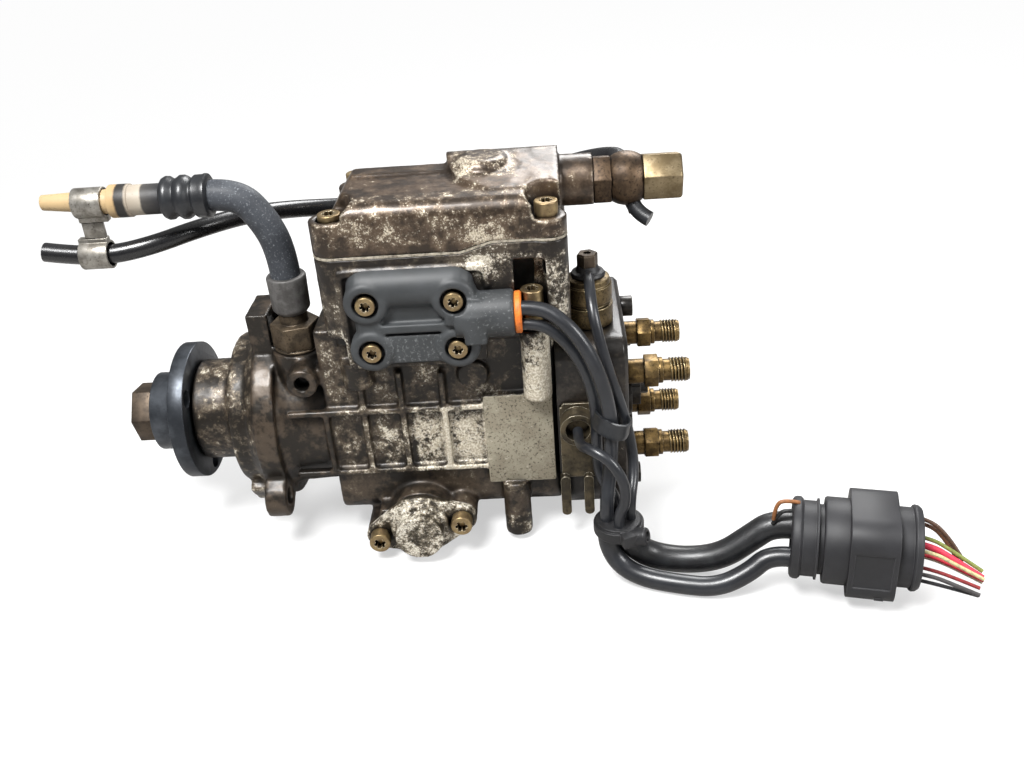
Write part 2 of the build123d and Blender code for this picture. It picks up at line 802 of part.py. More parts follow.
# Adjuster housing: open box with a bearing boss in its floor and the seat of the plug cover
with BuildPart() as adjuster_housing:
    add(extrude(Plane.XY.offset(body_top) * upper_outline(), part_high + 5 - body_top, mode=Mode.PRIVATE))
    block(
        (inner_left, inner_right),
        (-inner_half, inner_half),
        (body_top + upper_floor, part_high + 10),
        Mode.SUBTRACT,
    )
    for x, y in cover_screw_places:
        rod(body_top, part_high + 5, 8, (x, y, 0), (0, 0, 1))
    block((52, 112), (-upper_half_width, -rib_face - 0.5), (43.5, body_top + 10))
    rod(50, body_top + 1, 8, (rotor_x, 0, 0), (0, 0, 1))
    add(parting_band(0, far_up), mode=Mode.SUBTRACT)
    with BuildSketch(facing_front(-upper_half_width)):
        with Locations((83, 66)):
            RectangleRounded(65, 46, 3)
            RectangleRounded(60, 41, 2, mode=Mode.SUBTRACT)
    extrude(amount=1.5)
    block((105, 120), (-upper_half_width - 5, -upper_half_width), (40, 79), Mode.SUBTRACT)
    rod(side_screw_seat, 90, 7.6, (*side_screw, 0), (0, 0, 1), Mode.SUBTRACT)
    rod(body_top - 1, side_screw_seat + 1, m6_shank + 0.1, (*side_screw, 0), (0, 0, 1), Mode.SUBTRACT)
    rod(40, 70, rotor_shaft_radius + running_gap, (rotor_x, 0, 0), (0, 0, 1), Mode.SUBTRACT)
    for x, y in cover_screw_places:
        rod(80, part_high + 2, m6_shank, (x, y, 0), (0, 0, 1), Mode.SUBTRACT)
    for x, z in plug_screw_places:
        screw_tip = upper_half_width - 5
        rod(screw_tip - 0.5, upper_half_width + 1, m5_shank, (x, 0, z), (0, -1, 0), Mode.SUBTRACT)
save(adjuster_housing.part, "adjuster_housing")

# Gasket that follows the parting line
with BuildPart() as adjuster_gasket:
    add(extrude(Plane.XY.offset(part_low - 2) * upper_outline(), 12, mode=Mode.PRIVATE))
    block((inner_left, inner_right), (-inner_half, inner_half), (80, 120), Mode.SUBTRACT)
    for x, y in cover_screw_places:
        rod(part_low - 2, part_low + 10, 8, (x, y, 0), (0, 0, 1))
        rod(80, 120, m6_shank + 0.1, (x, y, 0), (0, 0, 1), Mode.SUBTRACT)
    add(parting_band(0, gasket_thickness), mode=Mode.INTERSECT)
save(adjuster_gasket.part, "adjuster_gasket")

# Cover: cast shell with a level front half, a step along its back strip and a raised dome seat
with BuildPart() as dome_seat:
    with BuildSketch(Plane.XY.offset(cover_top - 12)) as seat_plan:
        with BuildLine():
            Polyline(
                (97, 9),
                (99, -8),
                (105, -24),
                (118, -0.79 * upper_half_width),
                (upper_right, -0.79 * upper_half_width),
                (upper_right, 9),
                close=True,
            )
        make_face()
        fillet(seat_plan.vertices().filter_by(lambda v: v.X < 120), 6)
    extrude(amount=30)
    with BuildSketch(facing_outlets(90)) as seat_section:
        with BuildLine():
            Polyline(
                (-60, 90),
                (-0.79 * upper_half_width, cover_top + 0.8),
                (-16, cover_top + 3.5),
                (1, cover_top + 7),
                (9, cover_top + 3.5),
                (60, 90),
                close=True,
            )
        make_face()
        fillet(seat_section.vertices().filter_by(lambda v: v.Y > 100), 6)
    extrude(amount=80, mode=Mode.INTERSECT)
with BuildPart() as cover_dome:
    rod(cover_top - 6, cover_top + 7.2, cover_dome_radius, (*cover_dome_place, 0), (0, 0, 1))
    fillet(cover_dome.faces().sort_by(Axis.Z)[-1].edges(), 4)
with BuildPart() as adjuster_cover:
    with BuildSketch(facing_outlets(upper_left)) as cross_section:
        with BuildLine():
            Polyline(
                (-upper_half_width, part_low - 4),
                (-upper_half_width, cover_top),
                (-8.4, cover_top),
                (-7.6, cover_top + 1.4),
                (2, cover_top + 1.4),
                (0.55 * upper_half_width, 107),
                (upper_half_width, 98),
                (upper_half_width, part_low - 4),
                close=True,
            )
        make_face()
        front_corner = cross_section.vertices().group_by(Axis.X)[0].sort_by(Axis.Y)[-1]
        fillet(front_corner, cover_rounding)
    extrude(amount=upper_right - upper_left)
    with BuildSketch(facing_front(60)) as long_section:
        with BuildLine():
            Polyline(
                (upper_left, 80),
                (upper_left, 103),
                (upper_left + 11, cover_top + 2),
                (upper_right - 9, cover_top + 2),
                (upper_right, cover_top - 6),
                (upper_right, 80),
                close=True,
            )
        make_face()
        fillet(long_section.vertices().filter_by(lambda v: v.Y > 100), 5)
    extrude(amount=120, mode=Mode.INTERSECT)
    cover_plan = Plane.XY.offset(part_low - 4) * upper_outline()
    add(extrude(cover_plan, far_up, mode=Mode.PRIVATE), mode=Mode.INTERSECT)
    add(dome_seat.part)
    add(cover_dome.part)
    left_place = (left_boss[0], -left_boss[1], 0)
    rod(left_boss_top, cover_top + 20, left_boss_radius + 1, left_place, (0, 0, 1), Mode.SUBTRACT)
    for side in (-1, 1):
        for boss, radius, front_top in (
            (left_boss, left_boss_radius, left_boss_top),
            (right_boss, right_boss_radius, right_boss_top),
        ):
            place = (boss[0], side * boss[1], 0)
            top = front_top if side < 0 else back_boss_top
            rod(part_low - 4, top + 30, radius, place, (0, 0, 1), Mode.SUBTRACT)
            rod(part_low - 4, top, radius, place, (0, 0, 1))
    rod(130, return_boss_end, return_boss_radius, (0, 0, return_axis_z))
    block((inner_left + 2, inner_right - 2), (-inner_half, 0.5 * upper_half_width), (80, 102), Mode.SUBTRACT)
    block((inner_left + 2, inner_right - 2), (0, inner_half), (80, 95.5), Mode.SUBTRACT)
    block((64, 130), (-28, 12), (80, 111), Mode.SUBTRACT)
    for side in (-1, 1):
        for boss in (left_boss, right_boss):
            rod(part_low - 4, back_boss_top, 8, (boss[0], side * boss[1], 0), (0, 0, 1))
            rod(80, 130, m6_shank + 0.1, (boss[0], side * boss[1], 0), (0, 0, 1), Mode.SUBTRACT)
    rod(left_boss_top - 4, left_boss_top + 1, m6_head[0] + 1, left_place, (0, 0, 1), Mode.SUBTRACT)
    rod(150, return_boss_end + 1, 6, (0, 0, return_axis_z), mode=Mode.SUBTRACT)
    add(parting_band(-40, gasket_thickness), mode=Mode.SUBTRACT)
save(adjuster_cover.part, "adjuster_cover")

# Adjuster works: slotted iron core on four feet, its winding, and the position sensor on top
with BuildPart() as stator_core:
    core_top = stator_bottom + stator_height
    block((stator_left, stator_right), (-stator_half_width, stator_half_width), (stator_bottom, core_top))
    block((84, 103), (-10, 10), (60, 90), Mode.SUBTRACT)
    rod(60, 90, rotor_radius + 0.6, (rotor_x, 0, 0), (0, 0, 1), Mode.SUBTRACT)
    for side in (-1, 1):
        block((rotor_x - 1.5, rotor_x + 1.5), (side * 12 - 4, side * 12 + 4), (60, 90), Mode.SUBTRACT)
    for x in (stator_left + 13, stator_right - 4):
        for y in (-stator_half_width + 4, stator_half_width - 4):
            rod(body_top + upper_floor, stator_bottom, 3, (x, y, 0), (0, 0, 1))
with BuildPart() as adjuster_coil:
    block((stator_left - 4.5, 84 + 4.5), (-9.8, 9.8), (61.5, 86.5))
    block((stator_left, 84), (-12, 12), (stator_bottom, stator_bottom + stator_height), Mode.SUBTRACT)
sensor_bottom = stator_bottom + stator_height
with BuildPart() as position_sensor:
    rod(sensor_bottom, sensor_bottom + 9, 15, (rotor_x, 0, 0), (0, 0, 1))
    sensor_bore = rotor_shaft_radius + 0.5
    rod(sensor_bottom - 1, sensor_bottom + 20, sensor_bore, (rotor_x, 0, 0), (0, 0, 1), Mode.SUBTRACT)
save_group([stator_core.part, adjuster_coil.part, position_sensor.part], "adjuster_stator")

# Adjuster rotor: magnet and crank disc on the upright shaft, with the eccentric pin below
pin_y = pin_offset * cos(radians(pin_rest_angle))
with BuildPart() as adjuster_rotor:
    rod(12, sensor_bottom + 7, rotor_shaft_radius, (rotor_x, 0, 0), (0, 0, 1))
    rod(rotor_bottom, rotor_bottom + rotor_height, rotor_radius, (rotor_x, 0, 0), (0, 0, 1))
    rod(11.5, 14, 4.5, (rotor_x, 0, 0), (0, 0, 1))
    rod(6.5, 12, pin_radius, (pocket_x, pin_y, 0), (0, 0, 1))
save(adjuster_rotor.part, "adjuster_rotor")

# Plug cover with four screw bosses and the cable outlet, and its orange seal
plug_face = upper_half_width + 10
with BuildPart() as plug_cover:
    with BuildSketch(facing_front(-upper_half_width)) as plug_outline:
        with Locations(*plug_screw_places):
            Circle(8)
        with Locations((81.5, 64.9)):
            Rectangle(36, 38)
            Rectangle(49, 22)
    extrude(amount=plug_face - upper_half_width - 1)
    with BuildSketch(facing_front(-upper_half_width)):
        with Locations(*plug_screw_places):
            Circle(7.6)
    extrude(amount=plug_face - upper_half_width)
    rod(100, 125.5, 10, (0, -upper_half_width - 5, 67.5))
    block((90, 130), (-upper_half_width, -20), (40, 90), Mode.SUBTRACT)
    for x, z in plug_screw_places:
        rod(plug_face - 5.5, plug_face + 1, 5.6, (x, 0, z), (0, -1, 0), Mode.SUBTRACT)
        rod(upper_half_width - 1, plug_face, m5_shank + 0.1, (x, 0, z), (0, -1, 0), Mode.SUBTRACT)
with BuildPart() as cable_seal:
    rod(125.5, 128.5, 8.2, (0, -upper_half_width - 6, 67.5))
    block((120, 130), (-upper_half_width, -20), (40, 90), Mode.SUBTRACT)
save_group([plug_cover.part, cable_seal.part], "plug_cover")

# Yellow-zinc socket screws of the cover, the adjuster, the plug cover and the timing covers
casing_screws = []
cover_seats = (left_boss_top - 4, back_boss_top, right_boss_top, back_boss_top)
for (x, y), level in zip(cover_screw_places, cover_seats):
    shank_length = level - part_low + 11
    casing_screws.append(socket_screw((x, y, level), (0, 0, 1), m6_head, m6_shank, shank_length))
casing_screws.append(socket_screw((*side_screw, side_screw_seat), (0, 0, 1), (5, 9), m6_shank, 14))
for x, z in plug_screw_places:
    seat = (x, -plug_face + 5.5, z)
    casing_screws.append(socket_screw(seat, (0, -1, 0), m5_head, m5_shank, plug_screw_length))
for x, z in timing_screws:
    casing_screws.append(socket_screw((x, -plate_face, z), (0, -1, 0), m6_head, m6_shank, 14))
    casing_screws.append(socket_screw((x, plate_face, z), (0, 1, 0), m6_head, m6_shank, 14))
save_group(casing_screws, "casing_screws")

# Name plate, left bare
with BuildPart() as name_plate:
    with BuildSketch(facing_front(-rib_face)):
        with Locations((123.25, -1.5)):
            RectangleRounded(31.5, 47, 1)
    extrude(amount=0.6)
save(name_plate.part, "name_plate")

# Inlet union: ring washer, banjo hexagon and neck, with the crimped ferrule of the feed hose
with BuildPart() as inlet_washer:
    rod(42, 43.5, 11, (*inlet_place, 0), (0, 0, 1))
    rod(41, 44, 4.2, (*inlet_place, 0), (0, 0, 1), Mode.SUBTRACT)
with BuildPart() as inlet_union:
    hexagon_bar(43.5, 55, 20, (*inlet_place, 0), (0, 0, 1), 15)
    rod(31, 43.5, 3.9, (*inlet_place, 0), (0, 0, 1))
    rod(55, 60, 6.5, (*inlet_place, 0), (0, 0, 1))
save_group([inlet_washer.part, inlet_union.part], "inlet_union")
with BuildPart() as hose_ferrule:
    turned(
        [(60, 0), (60, 7), (62, 8.6), (77, 9), (78, 8.6), (78, 0)],
        (*inlet_place, 0),
        (0, 0, 1),
    )
save(hose_ferrule.part, "hose_ferrule")

# Feed hose, its bellows boot, the banded coupling and the open plastic tube
feed_level = 117.5
feed_route = [
    (inlet_place[0], inlet_place[1], 78),
    (22, -18, 91),
    (17, -19.3, 106),
    (8.5, -20, feed_level),
    (-3, -20, feed_level),
]
save(cord("feed_hose", feed_route, 6.8), "feed_hose")
with BuildPart() as hose_boot:
    turned(
        [(-3, 0), (-3, 8), (-5, 9.6), (-8, 9.6), (-9, 8.4), (-11, 8.4), (-12, 9.6), (-15, 9.6)]
        + [(-16, 8.4), (-18, 8.4), (-19, 9.6), (-22, 9.6), (-24, 7.6), (-24, 0)],
        (0, -20, feed_level),
    )
save(hose_boot.part, "hose_boot")
with BuildPart() as hose_coupling:
    turned(
        [(-24, 0), (-24, 6.6), (-38, 6.6), (-38, 7.2), (-47, 7.2), (-47, 0)],
        (0, -20, feed_level),
    )
with BuildPart() as feed_tube:
    rod(-77.5, -47, 5.4, (0, -20, feed_level))
    rod(-78.5, -60, 4, (0, -20, feed_level), mode=Mode.SUBTRACT)
save_group([hose_coupling.part, feed_tube.part], "feed_tube")

# Return hose, from its open end behind the cover to the banjo on the return valve
banjo_place = (178, 0, 107)
return_route = [
    (-83, -20, 96),
    (-68, -20.5, 93.6),
    (-52, -20, 93),
    (-35, -16, 95),
    (-18, -4, 97),
    (-2, 16, 95),
    (12, 38, 89),
    (32, 52, 84),
    (60, 56, 82),
    (95, 57, 84),
    (128, 56, 91),
    (152, 49, 100),
    (168, 42, 105),
    (177, 34, 107),
    (177, 22, 107),
]
save(cord("return_hose", return_route, 4.3), "return_hose")
with BuildPart() as upper_clip:
    rod(-63, -50, 6.6, (0, -20, feed_level))
    rod(-64, -49, 5.4, (0, -20, feed_level), mode=Mode.SUBTRACT)
    block((-63, -50), (-22, -18), (feed_level - 8.5, feed_level - 5.9))
with BuildPart() as lower_clip:
    rod(-66, -53, 6.4, (0, -20.2, 93.5))
    rod(-67, -52, 5.2, (0, -20.2, 93.5), mode=Mode.SUBTRACT)
    block((-66, -53), (-22, -18), (99, 101.5))
with BuildPart() as clip_strap:
    block((-62.5, -53.5), (-21.5, -18.5), (101.5, feed_level - 8.5))
save_group([upper_clip.part, lower_clip.part, clip_strap.part], "hose_clips")

# Return fitting: hollow valve screw, ball-shaped banjo with its pipe and leak stub, cap nut
with BuildPart() as return_valve:
    hexagon_bar(return_boss_end, 170, 20, (0, 0, return_axis_z), (1, 0, 0), 15)
    rod(150.5, return_boss_end, 5.9, (0, 0, return_axis_z))
save(return_valve.part, "return_valve")
with BuildPart() as return_banjo:
    rod(170, 184, 8.5, (0, 0, return_axis_z))
    with Locations((177, 0, return_axis_z)):
        Sphere(12)
    block((160, 170), (-14, 14), (90, 125), Mode.SUBTRACT)
    block((184, 200), (-14, 14), (90, 125), Mode.SUBTRACT)
    rod(10, 22, 4.3, (177, 0, 107), (0, 1, 0))
    rod(6, 22, 2.6, (177, 0, 104), (0.25, -0.45, -0.857))
save(return_banjo.part, "return_banjo")
with BuildPart() as return_cap_nut:
    hexagon_bar(184, 201.3, 19.5, (0, 0, return_axis_z), (1, 0, 0), 15)
    chamfer(return_cap_nut.faces().sort_by(Axis.X)[-1].outer_wire().edges(), 1)
save(return_cap_nut.part, "return_cap_nut")

# Shut-off valve: hexagon body, coil case, insulator and terminal nut, with its sprung plunger
with BuildPart() as shutoff_body:
    rod(32, head_top, 6.9, (*shutoff_place, 0), (0, 0, 1))
    hexagon_bar(head_top, 56, 22, (*shutoff_place, 0), (0, 0, 1), 10)
    rod(56, 68, 10, (*shutoff_place, 0), (0, 0, 1))
    rod(31, 52, 3.1, (*shutoff_place, 0), (0, 0, 1), Mode.SUBTRACT)
with BuildPart() as shutoff_terminal:
    rod(68, 73, 7.5, (*shutoff_place, 0), (0, 0, 1))
    hexagon_bar(73, 79, 8.4, (*shutoff_place, 0), (0, 0, 1))
save_group([shutoff_body.part, shutoff_terminal.part], "shutoff_valve")
with BuildPart() as shutoff_plunger:
    rod(33, 47, 3.05, (*shutoff_place, 0), (0, 0, 1))
    fillet(shutoff_plunger.faces().sort_by(Axis.Z)[0].outer_wire().edges(), 1)
save(shutoff_plunger.part, "shutoff_plunger")

# Timing solenoid on the far side
with BuildPart() as timing_solenoid:
    with BuildSketch(facing_front(body_half_width + 4)):
        with Locations((113, -18)):
            RectangleRounded(38, 24, 4)
    extrude(amount=4)
    rod(body_half_width, body_half_width + 30, 11, (113, 0, -18), (0, 1, 0))
    rod(body_half_width + 30, body_half_width + 34, 7, (113, 0, -18), (0, 1, 0))
save(timing_solenoid.part, "timing_solenoid")

# Cable bracket on the head: plate, half-round saddle and two legs
bracket_back = head_half_width
with BuildPart() as cable_bracket:
    with BuildSketch(facing_front(-bracket_back)) as bracket_plate:
        with Locations((151, -4)):
            Rectangle(18, 38)
        with Locations((152, 14.5)):
            RectangleRounded(18, 5, 1.5)
    extrude(amount=2)
    with BuildSketch(facing_front(-bracket_back)):
        with Locations((150, 7.4)):
            Circle(8)
            Circle(5.6, mode=Mode.SUBTRACT)
    extrude(amount=10)
    with BuildSketch(facing_front(-bracket_back)):
        with Locations((143.3, -32), (154.2, -32)):
            SlotOverall(22, 4.6, rotation=90)
    extrude(amount=5)
save(cable_bracket.part, "cable_bracket")

# Harness: two leads of the adjuster, the shut-off lead, the clamped lead and the main run
quantity_route = [
    (128.5, -upper_half_width - 7, 71),
    (137, -upper_half_width - 7, 71),
    (147, -56.5, 65),
    (155, -59, 54),
    (160.5, -60.5, 40),
    (164, -61, 24),
    (164.5, -62.5, 7),
    (162.5, -66, -9),
    (161, -71.3, -19),
    (161, -71.3, -27),
]
position_route = [
    (128.5, -upper_half_width - 7, 63.5),
    (136, -upper_half_width - 7, 63.5),
    (145, -54, 57),
    (152, -54.5, 46),
    (156.5, -54.5, 33),
    (158.5, -54, 18),
    (158, -54.5, 3),
    (158.5, -59, -11),
    (166, -65.5, -19.5),
    (166, -65.5, -27),
]
shutoff_route = [
    (158, -22.7, 71),
    (158, -33, 71),
    (158.5, -44.5, 64),
    (161, -49, 52),
    (164.5, -51, 38),
    (169, -52.5, 23),
    (173, -55, 7),
    (174.5, -60, -8),
    (171.5, -71.3, -18),
    (171.5, -71.3, -27),
]
timing_route = [
    (150, -50.2, 7.4),
    (150, -62, 7.4),
    (154.5, -71, 11),
    (163, -76, 8),
    (169, -78, -3),
    (169, -78, -14),
    (166, -77, -20),
    (166, -77, -27),
]
cables = (
    ("quantity_lead", quantity_route, 3.2),
    ("position_lead", position_route, 2.6),
    ("shutoff_lead", shutoff_route, 2.4),
    ("timing_lead", timing_route, 2.4),
)
for name, route, radius in cables:
    save(cord(name, route, radius), name)

main_route = [
    (161, -72.5, -33),
    (161, -72.5, -40),
    (166, -76, -49),
    (176, -80.5, -53.3),
    (191, -86, -53.3),
    (208, -90, -53),
    (222, -88, -47),
    (231.5, -85, -39.5),
    (241, -87.67, -39.5),
]
save(cord("harness_cable", main_route, 4.5), "harness_cable")
sleeve_route = [
    (171.2, -70.5, -33),
    (171.2, -70.5, -39),
    (175.5, -69, -46.5),
    (185, -69, -51.5),
    (199, -71.5, -52),
    (213, -74, -48),
    (225, -73.5, -39),
    (234.9, -73, -31.5),
    (244.4, -75.67, -31.5),
]
save(cord("harness_sleeve", sleeve_route, 5.6), "harness_sleeve")
with BuildPart() as cable_tie:
    rod(27, 33, 10.6, (166.2, -71.3, 0), (0, 0, -1))
    block((163, 169), (-87, -81), (-33, -28))
save(cable_tie.part, "cable_tie")

# Two-part round connector lying on the ground, with the cut wires at its far end
connector_start = (243, -81, -33.5)
connector_run = Vector(50.7, -14.3, 0).normalized()
connector_along = (connector_run.X, connector_run.Y, 0)
with BuildPart() as connector_plug:
    turned(
        [(0, 0), (0, 21), (2, 23.5), (5, 23.5), (5, 21), (12, 21), (12, 23.5), (16, 23.5), (16, 22), (20, 22), (20, 0)],
        connector_start,
        connector_along,
    )
with BuildPart() as connector_socket:
    turned(
        [(20, 0), (20, 24.5), (42, 24.5), (42, 20.5), (52, 20.5), (52, 22), (57, 22), (57, 0)],
        connector_start,
        connector_along,
    )
    rod(44, 58, 19, connector_start, connector_along, Mode.SUBTRACT)
save(connector_plug.part, "connector_plug")
save(connector_socket.part, "connector_socket")

# Cut wires that leave the recess of the socket
wire_routes = [
    [(289.24, -79.5, -28), (299.8, -82.5, -28), (307, -87, -35), (311, -91, -42)],
    [(287.61, -85.27, -31), (298.2, -88.3, -31), (308, -93, -36), (318, -100.5, -41)],
    [(285.71, -92.01, -35), (296.3, -95, -35), (306, -99.5, -38.5), (317, -105, -42)],
    [(284.22, -97.3, -29), (294.8, -100.3, -29), (305, -104, -34), (315, -109, -38)],
    [(283, -101.63, -38), (293.6, -104.6, -38), (303, -108.5, -40.5), (312.5, -113, -43)],
]
cut_wires = [cord("cut_wire", route, 0.9) for route in wire_routes]
save_group(cut_wires, "cut_wires")
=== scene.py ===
import json
import math

import bpy
from mathutils import Matrix, Vector


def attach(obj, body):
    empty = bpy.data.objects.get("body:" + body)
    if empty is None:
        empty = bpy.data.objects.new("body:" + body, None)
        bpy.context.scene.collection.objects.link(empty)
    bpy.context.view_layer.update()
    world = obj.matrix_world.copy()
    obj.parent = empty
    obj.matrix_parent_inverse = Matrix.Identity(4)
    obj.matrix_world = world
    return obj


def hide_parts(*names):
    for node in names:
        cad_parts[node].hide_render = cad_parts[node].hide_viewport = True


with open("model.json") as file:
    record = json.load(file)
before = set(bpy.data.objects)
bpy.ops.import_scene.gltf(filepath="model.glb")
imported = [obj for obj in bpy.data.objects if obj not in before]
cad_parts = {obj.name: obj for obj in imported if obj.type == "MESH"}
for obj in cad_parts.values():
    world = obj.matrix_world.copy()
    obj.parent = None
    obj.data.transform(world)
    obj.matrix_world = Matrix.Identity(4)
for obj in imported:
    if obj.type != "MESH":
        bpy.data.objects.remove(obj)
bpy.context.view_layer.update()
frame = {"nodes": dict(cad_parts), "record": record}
bpy.ops.object.select_all(action="DESELECT")
mm = 0.001
nodes = frame["nodes"]
record = frame["record"]
bodyOf = {}
for bodyName, names in record["behaviour"]["bodies"].items():
    for nodeName in names:
        bodyOf[nodeName] = bodyName
slotOf = {row["node"]: row["material_slot"] for row in record["subparts"]}
print("frame loaded:", len(nodes), "nodes")


# a node's output that can be added, subtracted and multiplied like a number
class Wire:
    def __init__(self, shader, socket):
        self.shader = shader
        self.socket = socket

    def calc(self, operation, other, flipped=False):
        pair = (other, self) if flipped else (self, other)
        return self.shader.add("ShaderNodeMath", {"operation": operation}, {0: pair[0], 1: pair[1]})

    def __add__(self, other):
        return self.calc("ADD", other)

    def __radd__(self, other):
        return self.calc("ADD", other, True)

    def __sub__(self, other):
        return self.calc("SUBTRACT", other)

    def __rsub__(self, other):
        return self.calc("SUBTRACT", other, True)

    def __mul__(self, other):
        return self.calc("MULTIPLY", other)

    def __rmul__(self, other):
        return self.calc("MULTIPLY", other, True)

    def above(self, low, high):  # 0 below low, 1 above high, smooth between
        return self.shader.add(
            "ShaderNodeMapRange",
            {"interpolation_type": "SMOOTHSTEP", "clamp": True},
            {"Value": self, "From Min": low, "From Max": high},
            "Result",
        )


# the node tree of a material or of the world
class Finish:
    def __init__(self, name, owner=None):
        self.material = owner or bpy.data.materials.new(name)
        self.material.use_nodes = True
        self.tree = self.material.node_tree
        self.tree.nodes.clear()
        self.place = self.add("ShaderNodeTexCoord", {}, {}, "Object")

    def add(self, kind, settings, values, output=0):
        node = self.tree.nodes.new(kind)
        for key, value in settings.items():
            if key == "stops":
                elements = node.color_ramp.elements
                while len(elements) < len(value):
                    elements.new(0.5)
                for element, (position, colour) in zip(elements, value):
                    element.position = position
                    element.color = (*colour, 1)
            else:
                setattr(node, key, value)
        for key, value in values.items():
            socket = node.inputs[key]
            if isinstance(value, Wire):
                self.tree.links.new(value.socket, socket)
            elif isinstance(value, tuple) and len(value) == 3 and socket.type == "RGBA":
                socket.default_value = (*value, 1)
            else:
                socket.default_value = value
        return Wire(self, node.outputs[output])

    def noise(self, size, detail=4, rough=0.55, seed=0):
        # size is the width of one blotch in millimetres
        moved = self.add("ShaderNodeMapping", {}, {"Vector": self.place, "Location": (seed, seed * 2, 0)})
        values = {"Vector": moved, "Scale": 1 / (size * mm), "Detail": detail, "Roughness": rough}
        return self.add("ShaderNodeTexNoise", {}, values)

    def blend(self, share, low, high):
        return self.add(
            "ShaderNodeMix", {"data_type": "RGBA", "clamp_factor": True}, {0: share, 6: low, 7: high}, 2
        )

    def axis(self, index):
        return self.add("ShaderNodeSeparateXYZ", {}, {0: self.place}, index)

    def edges(self, width):  # 1 on an edge that a rounding of this width would soften
        soft = self.rounded(width)
        flat = self.add("ShaderNodeNewGeometry", {}, {}, "Normal")
        same = self.add("ShaderNodeVectorMath", {"operation": "DOT_PRODUCT"}, {0: soft, 1: flat}, "Value")
        return (1 - same).above(0.01, 0.14)

    # an occlusion mask; the finishes darken their colour by it, painting shade into corners along with
    # grime
    def shelter(self, reach):  # 1 deep in a corner, 0 in the open
        openness = self.add("ShaderNodeAmbientOcclusion", {"samples": 8}, {"Distance": reach * mm}, "AO")
        return (1 - openness).above(0.12, 0.7)

    def region(self, low, high, soft):  # 1 inside a box given in millimetres, fading over the soft width
        share = None
        for index in range(3):
            along = self.axis(index) * 1000
            inside = along.above(low[index] - soft, low[index])
            inside = inside * (1 - along.above(high[index], high[index] + soft))
            share = inside if share is None else share * inside
        return share

    def rounded(self, width):
        return self.add("ShaderNodeBevel", {"samples": 6}, {"Radius": width * mm})

    def shade(self, colour, rough, metal=0.0, bumps=(), rounding=0.0, **more):
        normal = self.rounded(rounding) if rounding else None
        for height, strength, depth in bumps:
            values = {"Height": height, "Strength": strength, "Distance": depth * mm}
            if normal:
                values["Normal"] = normal
            normal = self.add("ShaderNodeBump", {}, values)
        values = {"Base Color": colour, "Roughness": rough, "Metallic": metal}
        if normal:
            values["Normal"] = normal
        for key, value in more.items():
            values[key.replace("_", " ")] = value
        skin = self.add("ShaderNodeBsdfPrincipled", {}, values)
        self.close(skin)
        return self.material

    def close(self, skin, kind="ShaderNodeOutputMaterial"):
        end = self.tree.nodes.new(kind)
        self.tree.links.new(skin.socket, end.inputs["Surface"])


def castMetal(name, look):
    # oil-blackened casting: crisp pale grains where its skin is rubbed; in sheltered places painted shade
    # and grime turn it black
    f = Finish(name)
    broad = f.noise(look["blotch"], 5, 0.6, seed=look.get("seed", 0))
    middle = f.noise(look["blotch"] / 5, 5, 0.65, seed=3)
    grain = f.noise(look["speck"], 6, 0.85, seed=7)
    fine = f.noise(look["speck"] * 0.4, 2, 0.6, seed=11)
    sheltered = f.shelter(look["reach"])
    amount = look["amount"] + (broad - 0.5) * look["uneven"] + (middle - 0.5) * look["uneven"] * 0.8
    amount = amount + f.edges(look["edge"]) * look["worn"] - sheltered * look["shadeAndGrime"]
    # given boxes in millimetres add to or take from the pale wear; the cover's boxes also paint a highlight
    for low, high, more in look.get("regions", ()):
        amount = amount + f.region(low, high, 3) * more
    pale = (grain + fine * 0.3 + amount).above(0.98, 1.08)
    skin = f.blend((broad * 0.6 + middle * 0.4).above(0.45, 0.56), look["dark"], look["base"])
    dusty = (grain * 0.7 + middle * 0.3 + amount * 0.7).above(0.6, 0.84)
    skin = f.blend(dusty * look["dusty"], skin, look["dust"])
    # painted shade with grime: sheltered places are blended towards a near-black colour
    skin = f.blend(sheltered * 1.2, skin, look["shadeAndGrimeColour"])
    light = f.blend(fine.above(0.42, 0.62), look["pale"], look["light"])
    skin = f.blend(pale * look["wear"], skin, light)
    rough = look["rough"] + 0.22 * grain + pale * 0.12
    bumps = [(middle, 0.35, 0.5), (grain, look["bump"], 0.22), (pale, 0.3, 0.1)]
    return f.shade(
        skin, rough, look["metal"], bumps, look["edge"], Coat_Weight=look["oil"], Coat_Roughness=0.16
    )


def turnedMetal(name, look):
    # machined and plated metal with handling marks
    f = Finish(name)
    broad = f.noise(look["blotch"], 4, 0.6, seed=look.get("seed", 1))
    fine = f.noise(look["blotch"] / 6, 5, 0.7, seed=5)
    skin = f.blend(broad.above(0.35, 0.65), look["base"], look["second"])
    skin = f.blend(fine.above(look["stainFrom"], look["stainFrom"] + 0.15) * 0.85, skin, look["stain"])
    worn = f.edges(look["edge"]) * (0.5 + fine)
    skin = f.blend(worn.above(0.4, 0.8) * look["wear"], skin, look["pale"])
    # painted shade with grime: corners are blended towards the dark shade-and-grime colour
    shadeAndGrime = f.shelter(look["reach"]) * (0.5 + broad)
    skin = f.blend(shadeAndGrime * look["shadeAndGrime"], skin, look["shadeAndGrimeColour"])
    rough = look["rough"] + 0.25 * fine
    return f.shade(skin, rough, look["metal"], [(fine, look["bump"], 0.08)], look["edge"])


